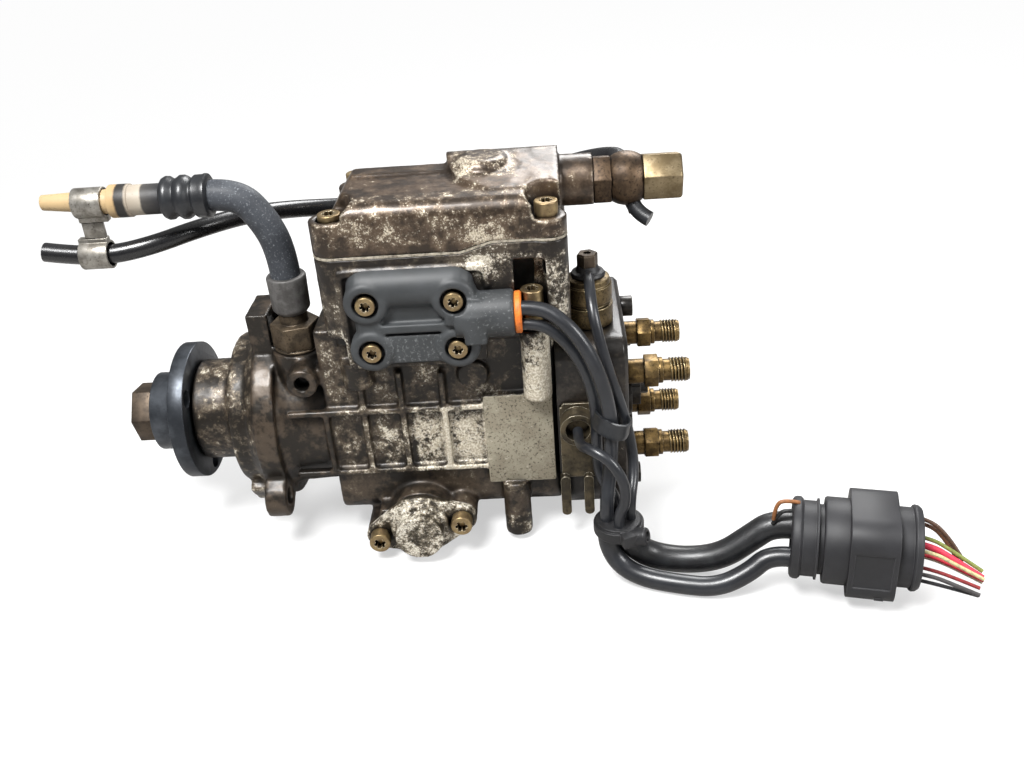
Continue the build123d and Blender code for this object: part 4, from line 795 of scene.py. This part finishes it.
for i, (model, spot, along, spin) in enumerate(screwPlaces):
    screw = placedCopy(model, spot, along, spin)
    seat(screw, f"casingScrew{i + 1}", "casing_screws", zincScrew, stands=(i == 0))
for model in (coverHead, plugHead, sideHead):
    bpy.data.objects.remove(model)
print("screws:", len(screwPlaces))


def threadedOutlet(look):
    # along +Z: body in the head, hexagon, neck, then a real thread wound by the screw modifier
    pitch = look["pitch"]
    bpy.ops.object.select_all(action="DESELECT")
    reach = pitch / math.sqrt(3)
    toothMiddle = ((look["thread"] - reach) * mm, 0, (look["threadFrom"] + pitch / 2) * mm)
    bpy.ops.mesh.primitive_circle_add(vertices=3, radius=reach * mm, location=toothMiddle,
                                      rotation=(math.radians(90), 0, 0))
    thread = bpy.context.active_object
    bpy.ops.object.transform_apply(location=True, rotation=True, scale=True)
    far = max(v.co.x for v in thread.data.vertices)
    if sum(abs(v.co.x - far) < 1e-6 for v in thread.data.vertices) != 1:
        openWhole(thread)
        bpy.ops.transform.rotate(value=math.radians(90), orient_axis="Y", center_override=toothMiddle)
        bpy.ops.object.mode_set(mode="OBJECT")
        far = max(v.co.x for v in thread.data.vertices)
    pick(thread, "edges", lambda v: v.x < far - reach * mm)
    bpy.ops.mesh.delete(type="EDGE")
    done()
    turns = int((look["end"] - look["threadFrom"] - 1.6) / pitch)
    applied(thread, "SCREW", axis="Z", screw_offset=pitch * mm, iterations=turns, steps=28, render_steps=28,
            use_merge_vertices=True, merge_threshold=1e-6)
    coreMiddle = (look["end"] + look["neckFrom"]) / 2
    coreLong = look["end"] - look["neckFrom"]
    core = freshCylinder(look["thread"] - look["root"], coreLong, (0, 0, coreMiddle), 40)
    pick(core, "polygons", lambda c, n: n.z > 0.9)
    bpy.ops.mesh.inset(thickness=look["lip"] * mm)
    pushed(0, 0, -look["coneDeep"])
    bpy.ops.transform.resize(value=(look["coneTo"], look["coneTo"], 1), center_override=(0, 0, 0))
    pushed(0, 0, -look["boreDeep"])
    done()
    rimPlace = (0, 0, look["end"] - look["rimBack"])
    rim = freshCylinder(look["thread"] - look["rimIn"], look["rimLong"], rimPlace, 40)
    pick(rim, "edges", lambda v: v.z > (look["end"] - look["rimLong"] / 2) * mm)
    bpy.ops.mesh.bevel(offset=look["rimCut"] * mm, segments=1, affect="EDGES")
    done()
    pick(rim, "polygons", lambda c, n: n.z > 0.9)
    bpy.ops.mesh.delete(type="FACE")
    done()
    collarPlace = (0, 0, look["neckFrom"] + look["collarLong"] / 2)
    collar = freshCylinder(look["thread"] + 0.1, look["collarLong"], collarPlace, 40)
    body = freshCylinder(look["body"], look["hexFrom"], (0, 0, look["hexFrom"] / 2), 40)
    cornerRadius = look["flats"] / 2 / math.cos(math.radians(30))
    hexMiddle = (look["hexTo"] + look["hexFrom"]) / 2
    flats = freshCylinder(cornerRadius, look["hexTo"] - look["hexFrom"], (0, 0, hexMiddle), 6)
    neckMiddle = (look["threadFrom"] + look["hexTo"]) / 2
    neckLong = look["threadFrom"] - look["hexTo"] + 1
    neck = freshCylinder(look["neck"], neckLong, (0, 0, neckMiddle), 40)
    for part in (collar, body, flats):
        applied(part, "BEVEL", width=look["corner"] * mm, segments=2, limit_method="ANGLE",
                angle_limit=math.radians(40))
    piece = joined(thread, core, rim, collar, body, flats, neck)
    openWhole(piece)
    bpy.ops.mesh.normals_make_consistent(inside=False)
    bpy.ops.object.mode_set(mode="OBJECT")
    bpy.ops.object.shade_smooth_by_angle(angle=math.radians(32))
    return piece


outletModel = threadedOutlet({
    "body": 5.8, "flats": 13.5, "hexFrom": 8.5, "hexTo": 15, "corner": 0.35, "neckFrom": 15,
    "neck": 5.1, "collarLong": 2.2, "threadFrom": 20, "thread": 6, "root": 0.95, "pitch": 1.5,
    "end": 29.5, "rimBack": 1.1, "rimIn": 0.5, "rimLong": 1.2, "rimCut": 0.45, "lip": 1.4,
    "coneDeep": 2.2, "coneTo": 0.55, "boreDeep": 5,
})
for i, (y, z) in enumerate([(20, 20), (-20, 20), (20, -20), (-20, -20)]):
    outlet = placedCopy(outletModel, (174, y, z), (1, 0, 0), 10 + 17 * i)
    seat(outlet, f"outlet{i + 1}", "delivery_valve_holders", outletBrass, stands=(i == 0))
bpy.data.objects.remove(outletModel)
print("outlets ready")


def cableTie():
    # a band drawn round the bundle, with its ratchet head and the block beside it
    look = {"x": 166.2, "y": -71.3, "z": -30, "outer": 11.3, "inner": 9.9, "half": 2.4}
    band = lathe([
        (-look["half"], look["inner"]), (-look["half"], look["outer"]), (look["half"], look["outer"]),
        (look["half"], look["inner"]), (-look["half"], look["inner"]),
    ], (look["x"], look["y"], look["z"]))
    bundle = freshCylinder(look["inner"] + 0.2, 7.4, (look["x"], look["y"], look["z"]), 48)
    head = lathe([
        (-5, 0), (-5, 3.2), (-4, 4), (3.2, 4), (3.8, 3.4), (3.8, 2.1), (2.6, 2.1), (2.6, 0),
    ], (look["x"] + 8.6, look["y"] - 9.4, look["z"]), (0.9, -0.35, 0.25), 40)
    block = freshBox((9, 6.5, 6), (look["x"] + 4.5, look["y"] - 10, look["z"]), (0, 0, 22))
    piece = joined(band, bundle, head, block)
    softEdges(piece, 0.4, 2, 30)
    return piece


seat(cableTie(), "cableTieBand", "cable_tie", blackPlastic)


def strapBand():
    # the rubber strap that holds the leads together beside the bracket
    band = lathe([
        (-3.4, 9.6), (-3.8, 10.8), (-1.5, 11.3), (1.2, 10.9), (3.6, 11.2), (3.9, 10), (3.4, 9.6),
        (-3.4, 9.6),
    ])
    band.scale = (1, 0.72, 1)
    only(band)
    bpy.ops.object.transform_apply(scale=True)
    return aimed(band, (164.6, -57.4, 16), (0.28, 0.1, 1))


seat(strapBand(), "leadStrap", "cable_tie", bootRubber, stands=False)


def plugBlock():
    # moulded block: screw bosses, rounded hood, raised bar and panel, stepped cable outlet
    look = {"face": -53, "boss": 9.6, "recess": 5.6, "hood": 9.2, "voxel": 0.55}
    boxes = {
        "slab": ((50, 8, 34), (81.5, -44.6, 66)), "bar": ((30, 6, 4), (81.5, -49, 63.7)),
        "panel": ((34, 6, 13.5), (81.5, -48, 53.6)), "rightColumn": ((10, 9, 24), (100.2, -47, 65)),
        "leftColumn": ((10, 9, 24), (62.8, -47, 65)), "step": ((9.5, 13, 13), (108.6, -51.6, 63.8)),
        "bridge": ((16, 12, 12), (104, -48, 71)),
    }
    parts = [freshBox(*box) for box in boxes.values()]
    for x, z in plugBosses:
        parts.append(lathe([
            (0, 0), (0, look["boss"] + 0.4), (9.5, look["boss"]), (10.6, look["boss"] - 0.9),
            (11, look["boss"] - 2), (11, 0),
        ], (x, look["face"] + 11, z), (0, -1, 0)))
    parts.append(lathe([
        (0, 0), (0.5, 4), (2.2, 6.9), (5, 8.7), (8, look["hood"]), (47, look["hood"]), (50, 8.7),
        (52.8, 6.9), (54.5, 4), (55, 0),
    ], (54, -43.6, 80.4), (1, 0, 0)))
    parts.append(lathe([
        (0, 0), (0, 10), (24.6, 10.2), (25.3, 9.6), (25.5, 8.6), (25.5, 0),
    ], cableOutlet, (1, 0, 0)))
    piece = joined(*parts)
    melted(piece, look["voxel"])
    for x, z in plugBosses:
        cutter = freshCylinder(look["recess"], 8, (x, look["face"] + 0.2, z), 48, (90, 0, 0))
        applied(piece, "BOOLEAN", operation="DIFFERENCE", object=cutter, solver="EXACT")
        bpy.data.objects.remove(cutter)
    melted(piece, look["voxel"] * 0.8)
    applied(piece, "SMOOTH", factor=0.5, iterations=7)
    applied(piece, "DECIMATE", ratio=0.4)
    only(piece)
    bpy.ops.object.shade_smooth()
    return piece


seat(plugBlock(), "plugBlock", "plug_cover", plugPlastic)
sealPlace = (cableOutlet[0] + outletLong, *cableOutlet[1:])
sealProfile = [(0, 0), (0, 8.6), (0.6, 9.1), (2.4, 9.1), (3, 8.4), (3, 0)]
seal = lathe(sealProfile, sealPlace, (1, 0, 0))
seat(seal, "outletSeal", "plug_cover", orangeSeal, stands=False)

bootProfile = [
    (0, 5), (0, 7.6), (0.8, 8.7), (2.2, 9.4), (3.8, 9.3), (5.2, 8.3), (6.2, 8.1), (7.2, 8.6), (8.6, 9.5),
    (10.4, 9.5), (11.8, 8.8), (12.8, 7.9), (13.6, 7.8), (14.2, 8.6), (15, 9.2), (18.4, 9.3), (19.2, 9.6),
    (20.2, 9.5), (20.8, 8.6), (21, 7), (21, 5), (0, 5),
]
seat(lathe(bootProfile, (-24, -20, 117.5), (1, 0, 0)), "feedBoot", "hose_boot", bootRubber)

shutoffBody = lathe([
    (0, 0), (0, 10.9), (9, 10.9), (9.5, 9.7), (10.8, 9.7), (11.2, 10.6), (14, 10.7), (18.6, 10.6),
    (19.2, 9.9), (20, 10.1), (21.6, 9.6), (22.4, 8), (22.4, 0),
], (*shutoffPlace, 46), (0, 0, 1))
seat(shutoffBody, "shutoffBody", "shutoff_valve", shutoffBronze)
insulator = lathe([
    (0, 0), (0, 7.6), (0.9, 7.9), (2, 7.3), (2.6, 5.6), (3.6, 5.2), (5, 4.6), (5, 0),
], (*shutoffPlace, 68.2), (0, 0, 1))
seat(insulator, "shutoffInsulator", "shutoff_valve", blackPlastic, stands=False)
nutProfile = [(0, 0), (0, 4.85), (5.2, 4.85), (5.9, 4.2), (5.9, 1.9), (3.4, 1.9), (3.4, 0)]
terminal = aimed(lathe(nutProfile, sides=6), (*shutoffPlace, 73.1), (0, 0, 1), 12)
seat(terminal, "shutoffNut", "shutoff_valve", nutSteel, stands=False)

connectorStart = Vector((241, -80.6, -33.5))
connectorAlong = Vector((0.9748, -0.2232, 0))
plugBody = lathe([
    (1.5, 0), (1.5, 15), (0, 15.4), (0, 16.4), (0.7, 17.6), (1.8, 18.1), (3.6, 18.1), (4.6, 17.2),
    (4.9, 16.6), (10.4, 16.6), (10.6, 17.8), (11.4, 17.8), (11.6, 15.3), (13.6, 15.3), (13.8, 18.5),
    (14.6, 19), (24, 19), (24, 0),
], connectorStart, connectorAlong, 80)
seat(plugBody, "plugBody", "connector_plug", connectorPlastic)


def socketBody():
    # squared outer sleeve with its bare recessed field, then the ring and flange at the wire end
    look = {"half": 20, "corner": 11, "long": 19.6, "inset": 2.2, "sunk": 0.45, "middle": 33.8}
    sleeve = freshBox((look["long"], 2 * look["half"], 2 * look["half"]), (0, 0, 0))
    only(sleeve)
    bpy.ops.object.mode_set(mode="EDIT")
    bpy.ops.mesh.select_mode(type="EDGE")
    bpy.ops.mesh.select_all(action="DESELECT")
    bpy.ops.object.mode_set(mode="OBJECT")
    mesh = sleeve.data
    for edge in mesh.edges:
        first, second = (mesh.vertices[i].co for i in edge.vertices)
        edge.select = abs(first.x - second.x) > 0.001
    bpy.ops.object.mode_set(mode="EDIT")
    bpy.ops.mesh.bevel(offset=look["corner"] * mm, segments=9, affect="EDGES")
    done()
    pick(sleeve, "polygons", lambda c, n: n.y < -0.99)
    bpy.ops.mesh.inset(thickness=look["inset"] * mm)
    pushed(0, look["sunk"], 0)
    done()
    mark = freshBox((3.8, 0.5, 2), (3.5, -18.6, -14.4), (-30, 0, 0))
    sleeve = joined(sleeve, mark)
    middle = Matrix.Translation((connectorStart + connectorAlong * look["middle"]) * mm)
    yaw = math.atan2(connectorAlong.y, connectorAlong.x)
    sleeve.matrix_world = middle @ Matrix.Rotation(yaw, 4, "Z")
    only(sleeve)
    bpy.ops.object.transform_apply(location=True, rotation=True, scale=True)
    softEdges(sleeve, 0.5, 2, 30)
    ring = lathe([
        (24, 0), (24, 19), (43.6, 19), (43.8, 17.3), (49.6, 17.3), (49.9, 18.2), (50.6, 18.6),
        (52, 18.4), (53.3, 17.4), (53.5, 15.6), (46, 15.4), (46, 0),
    ], connectorStart, connectorAlong, 80)
    return joined(sleeve, ring)


seat(socketBody(), "socketBody", "connector_socket", connectorPlastic)
print("connector ready")


# the cords follow the same points as the part's source, in millimetres
def cordPiece(name, node, points, radius, finish, stands=True):
    bpy.ops.object.select_all(action="DESELECT")
    curve = bpy.data.curves.new(name, "CURVE")
    curve.dimensions = "3D"
    curve.resolution_u = 12
    curve.bevel_depth = radius * mm
    curve.bevel_resolution = 6
    curve.use_fill_caps = True
    line = curve.splines.new("NURBS")
    line.points.add(len(points) - 1)
    for spot, (x, y, z) in zip(line.points, points):
        spot.co = (x * mm, y * mm, z * mm, 1)
    line.order_u = 3
    line.use_endpoint_u = True
    piece = bpy.data.objects.new(name, curve)
    bpy.context.scene.collection.objects.link(piece)
    paint(piece, finish)
    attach(piece, "casing")
    if stands:
        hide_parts(node)
    return piece


def declared(look):
    # works out where the cord starts, its real length and its width, in metres, and passes none of them on
    exitPoint = [value * mm for value in look["route"][0]]
    look["length"] * mm
    2 * look["radius"] * mm


cords = {
    "feed_hose": {
        "radius": 6.8, "finish": wovenHose,
        "route": [(22, -18, 78), (22, -18, 91), (17, -19.3, 106), (8.5, -20, 117.5), (-3, -20, 117.5)],
    },
    "return_hose": {
        "radius": 4.3, "finish": glossHose, "length": 310.9, "farEnd": "bare",
        "route": [
            (177, 22, 107), (177, 34, 107), (168, 42, 105), (152, 49, 100), (128, 56, 91),
            (95, 57, 84), (60, 56, 82), (32, 52, 84), (12, 38, 89), (-2, 16, 95), (-18, -4, 97),
            (-35, -16, 95), (-52, -20, 93), (-68, -20.5, 93.6), (-83, -20, 96),
        ],
    },
    "quantity_lead": {
        "radius": 3.2, "finish": cableJacket, "length": 118.5, "farEnd": "object",
        "route": [
            (128.5, -52, 71), (137, -52, 71), (147, -56.5, 65), (155, -59, 54), (160.5, -60.5, 40),
            (164, -61, 24), (164.5, -62.5, 7), (162.5, -66, -9), (161, -71.3, -19), (161, -71.3, -27),
        ],
    },
    "position_lead": {
        "radius": 2.6, "finish": cableJacket, "length": 109.6, "farEnd": "object",
        "route": [
            (128.5, -52, 63.5), (136, -52, 63.5), (145, -54, 57), (152, -54.5, 46), (156.5, -54.5, 33),
            (158.5, -54, 18), (158, -54.5, 3), (158.5, -59, -11), (166, -65.5, -19.5),
            (166, -65.5, -27),
        ],
    },
    "shutoff_lead": {
        "radius": 2.4, "finish": cableJacket, "length": 122.4, "farEnd": "object",
        "route": [
            (158, -22.7, 71), (158, -33, 71), (158.5, -44.5, 64), (161, -49, 52), (164.5, -51, 38),
            (169, -52.5, 23), (173, -55, 7), (174.5, -60, -8), (171.5, -71.3, -18),
            (171.5, -71.3, -27),
        ],
    },
    "timing_lead": {
        "radius": 2.4, "finish": cableJacket, "length": 68.5, "farEnd": "object", "stiffness": "limp",
        "route": [
            (150, -50.2, 7.4), (150, -62, 7.4), (154.5, -71, 11), (163, -76, 8), (169, -78, -3),
            (169, -78, -14), (166, -77, -20), (166, -77, -27),
        ],
    },
    "harness_cable": {
        "radius": 4.5, "finish": cableJacket, "length": 99.2, "farEnd": "connector",
        "pieces": ("plugBody", "socketBody"),
        "route": [
            (161, -72.5, -33), (161, -72.5, -40), (166, -76, -49), (176, -80.5, -53.3),
            (191, -86, -53.3), (208, -90, -53), (222, -88, -47), (231.5, -85, -39.5),
            (241, -87.67, -39.5),
        ],
    },
    "harness_sleeve": {
        "radius": 6.2, "finish": tapeSleeve, "length": 90.6, "farEnd": "object",
        "route": [
            (171.2, -70.5, -33), (171.2, -70.5, -39), (175.5, -69, -46.5), (185, -69, -51.5),
            (199, -71.5, -52), (213, -74, -48), (225, -73.5, -39), (234.9, -73, -31.5),
            (244.4, -75.67, -31.5),
        ],
    },
}
for node, look in cords.items():
    cord = cordPiece(node + "Cord", node, look["route"], look["radius"], look["finish"])
    print(node, round(cord.data.splines[0].calc_length() * 1000, 1))
    if "length" in look:
        declared(look)
print("cords:", len(cords))

def insulation(name, colour):
    return sealRubber(name, colour, tuple(c * 0.6 for c in colour))


wires = {
    "brown": {
        "colour": (0.14, 0.06, 0.03), "radius": 0.9, "length": 30.5,
        "route": [(289.24, -79.5, -28), (299.8, -82.5, -28), (307, -87, -35), (311, -91, -42)],
    },
    "green": {
        "colour": (0.22, 0.26, 0.06), "radius": 0.9, "length": 36.2,
        "route": [(287.61, -85.27, -31), (298.2, -88.3, -31), (308, -93, -36), (318, -100.5, -41)],
    },
    "red": {
        "colour": (0.62, 0.03, 0.05), "radius": 0.9, "length": 34.9,
        "route": [(285.71, -92.01, -35), (296.3, -95, -35), (306, -99.5, -38.5), (317, -105, -42)],
    },
    "yellow": {
        "colour": (0.6, 0.54, 0.28), "radius": 0.8, "length": 34.6,
        "route": [(284.22, -97.3, -29), (294.8, -100.3, -29), (305, -104, -34), (315, -109, -38)],
    },
    "grey": {
        "colour": (0.06, 0.055, 0.055), "radius": 0.9, "length": 32.2,
        "route": [(283, -101.63, -38), (293.6, -104.6, -38), (303, -108.5, -40.5), (312.5, -113, -43)],
    },
    "darkBrown": {
        "colour": (0.09, 0.045, 0.025), "radius": 0.9, "length": 33.5,
        "route": [(288.8, -81, -24), (299, -83.5, -24.5), (308, -88.5, -33), (312.5, -93, -41)],
    },
    "pink": {
        "colour": (0.66, 0.04, 0.08), "radius": 1.5, "length": 34.5,
        "route": [(287, -88, -33), (297.5, -91, -33), (307.5, -96, -38), (317.5, -102.5, -43)],
    },
    "darkRed": {
        "colour": (0.3, 0.03, 0.03), "radius": 0.8, "length": 33,
        "route": [(285, -95, -39), (295, -98, -40), (305, -102, -42), (315, -107, -44.5)],
    },
    "cream": {
        "colour": (0.72, 0.66, 0.48), "radius": 0.8, "length": 35,
        "route": [(286, -90, -37), (296.5, -93.5, -37.5), (306.5, -98.5, -40), (317, -104, -44)],
    },
    "black": {
        "colour": (0.02, 0.02, 0.022), "radius": 0.8, "length": 32,
        "route": [(283.5, -100, -42), (293.5, -103, -43), (303.5, -107, -44), (313, -111, -45)],
    },
}
for i, (colourName, look) in enumerate(wires.items()):
    finish = insulation(colourName + "Insulation", look["colour"])
    wire = cordPiece(colourName + "Wire", "cut_wires", look["route"], look["radius"], finish, i == 0)
    print(colourName, round(wire.data.splines[0].calc_length() * 1000, 1))
    declared({**look, "farEnd": "bare", "stiffness": "limp"})

tinyLoops = {
    "brownLoop": (
        0.9, (0.3, 0.12, 0.04),
        [(233.5, -79, -25), (233.8, -79.5, -17), (237.5, -80, -14), (244, -80.5, -15.5)]
    ),
    "blackLoop": (
        0.9, (0.02, 0.02, 0.02),
        [(233.5, -78, -28), (235.5, -79.5, -21.5), (238.5, -80, -19.5), (244, -80.5, -20)]
    ),
}
for loopName, (radius, colour, route) in tinyLoops.items():
    finish = insulation(loopName + "Skin", colour)
    cordPiece(loopName, "cut_wires", route, radius, finish, stands=False)
tornHose = [(177.8, -1.4, 101.4), (179.4, -4.4, 96.5), (183, -7.2, 92.4), (186.5, -9, 90.8)]
cordPiece("tornHose", "return_banjo", tornHose, 3.5, bootRubber, stands=False)

bpy.ops.object.select_all(action="DESELECT")
bpy.ops.mesh.primitive_plane_add(size=12, location=(0.1, 0, -0.058))
floor = bpy.context.active_object
floor.name = "floor"


def paleGround(name):
    f = Finish(name)
    soft = f.noise(300, 3, 0.5)
    camera = f.add("ShaderNodeLightPath", {}, {}, "Is Camera Ray")
    skin = f.blend(soft, (0.9, 0.9, 0.89), (0.93, 0.93, 0.925))
    skin = f.blend(camera, (0.34, 0.33, 0.32), skin)
    matt = f.add("ShaderNodeBsdfPrincipled", {}, {"Base Color": skin, "Roughness": 0.75})
    white = f.add("ShaderNodeEmission", {}, {"Color": (1.0, 1.0, 1.0), "Strength": 1.0})
    far = f.add("ShaderNodeVectorMath", {"operation": "LENGTH"}, {0: f.place}, "Value").above(0.3, 0.9)
    f.close(f.add("ShaderNodeMixShader", {}, {0: camera * (0.55 + far * 0.42), 1: matt, 2: white}))
    return f.material


paint(floor, paleGround("paleGround"))

# the camera sees plain white; the part is lit by a dim sky that is darker below
world = bpy.data.worlds.new("studio")
bpy.context.scene.world = world
room = Finish("studio", world)
sight = room.add("ShaderNodeTexCoord", {}, {}, "Generated")
height = room.add("ShaderNodeSeparateXYZ", {}, {0: sight}, "Z")
greys = {"stops": [(0.0, (0.42, 0.42, 0.43)), (0.85, (1.0, 1.0, 1.0))]}
sky = room.add("ShaderNodeValToRGB", greys, {"Fac": height})
lit = room.add("ShaderNodeBackground", {}, {"Strength": 0.34, "Color": sky})
plain = room.add("ShaderNodeBackground", {}, {"Strength": 1.0, "Color": (1.0, 1.0, 1.0)})
seen = room.add("ShaderNodeLightPath", {}, {}, "Is Camera Ray")
room.close(room.add("ShaderNodeMixShader", {}, {0: seen, 1: lit, 2: plain}), "ShaderNodeOutputWorld")

lamps = {
    "keyBox": {"place": (-0.15, -0.45, 0.85), "aim": (0.1, 0, 0), "size": 0.32, "power": 15.0},
    "rimBox": {"place": (0.35, 0.75, 0.7), "aim": (0.1, 0, 0.02), "size": 0.5, "power": 9.0},
    "sideBox": {"place": (0.85, -0.35, 0.45), "aim": (0.12, 0, 0), "size": 0.3, "power": 4.5},
}
for name, lamp in lamps.items():
    bpy.ops.object.light_add(type="AREA", location=lamp["place"])
    light = bpy.context.active_object
    light.name = name
    light.data.size = lamp["size"]
    light.data.energy = lamp["power"]
    aim = Vector(lamp["aim"]) - Vector(lamp["place"])
    light.rotation_euler = aim.to_track_quat("-Z", "Y").to_euler()

view = {"place": (0.1444, -0.4482, 0.2586), "yaw": -3.23, "pitch": 29.45, "roll": -4.5, "lens": 36.54}
yaw, pitch, roll = (math.radians(view[key]) for key in ("yaw", "pitch", "roll"))
forward = Vector((math.sin(yaw) * math.cos(pitch), math.cos(yaw) * math.cos(pitch), -math.sin(pitch)))
level = Vector((math.cos(yaw), -math.sin(yaw), 0))
upright = level.cross(forward)
right = level * math.cos(roll) + upright * math.sin(roll)
above = upright * math.cos(roll) - level * math.sin(roll)
bpy.ops.object.camera_add(location=view["place"])
camera = bpy.context.active_object
camera.data.lens = view["lens"]
camera.data.sensor_width = 36
camera.matrix_world = Matrix(
    ((right.x, above.x, -forward.x, view["place"][0]), (right.y, above.y, -forward.y, view["place"][1]),
     (right.z, above.z, -forward.z, view["place"][2]), (0, 0, 0, 1)))
camera.data.clip_start = 0.01
camera.data.clip_end = 50
bpy.context.scene.camera = camera
bpy.context.scene.view_settings.view_transform = "Standard"
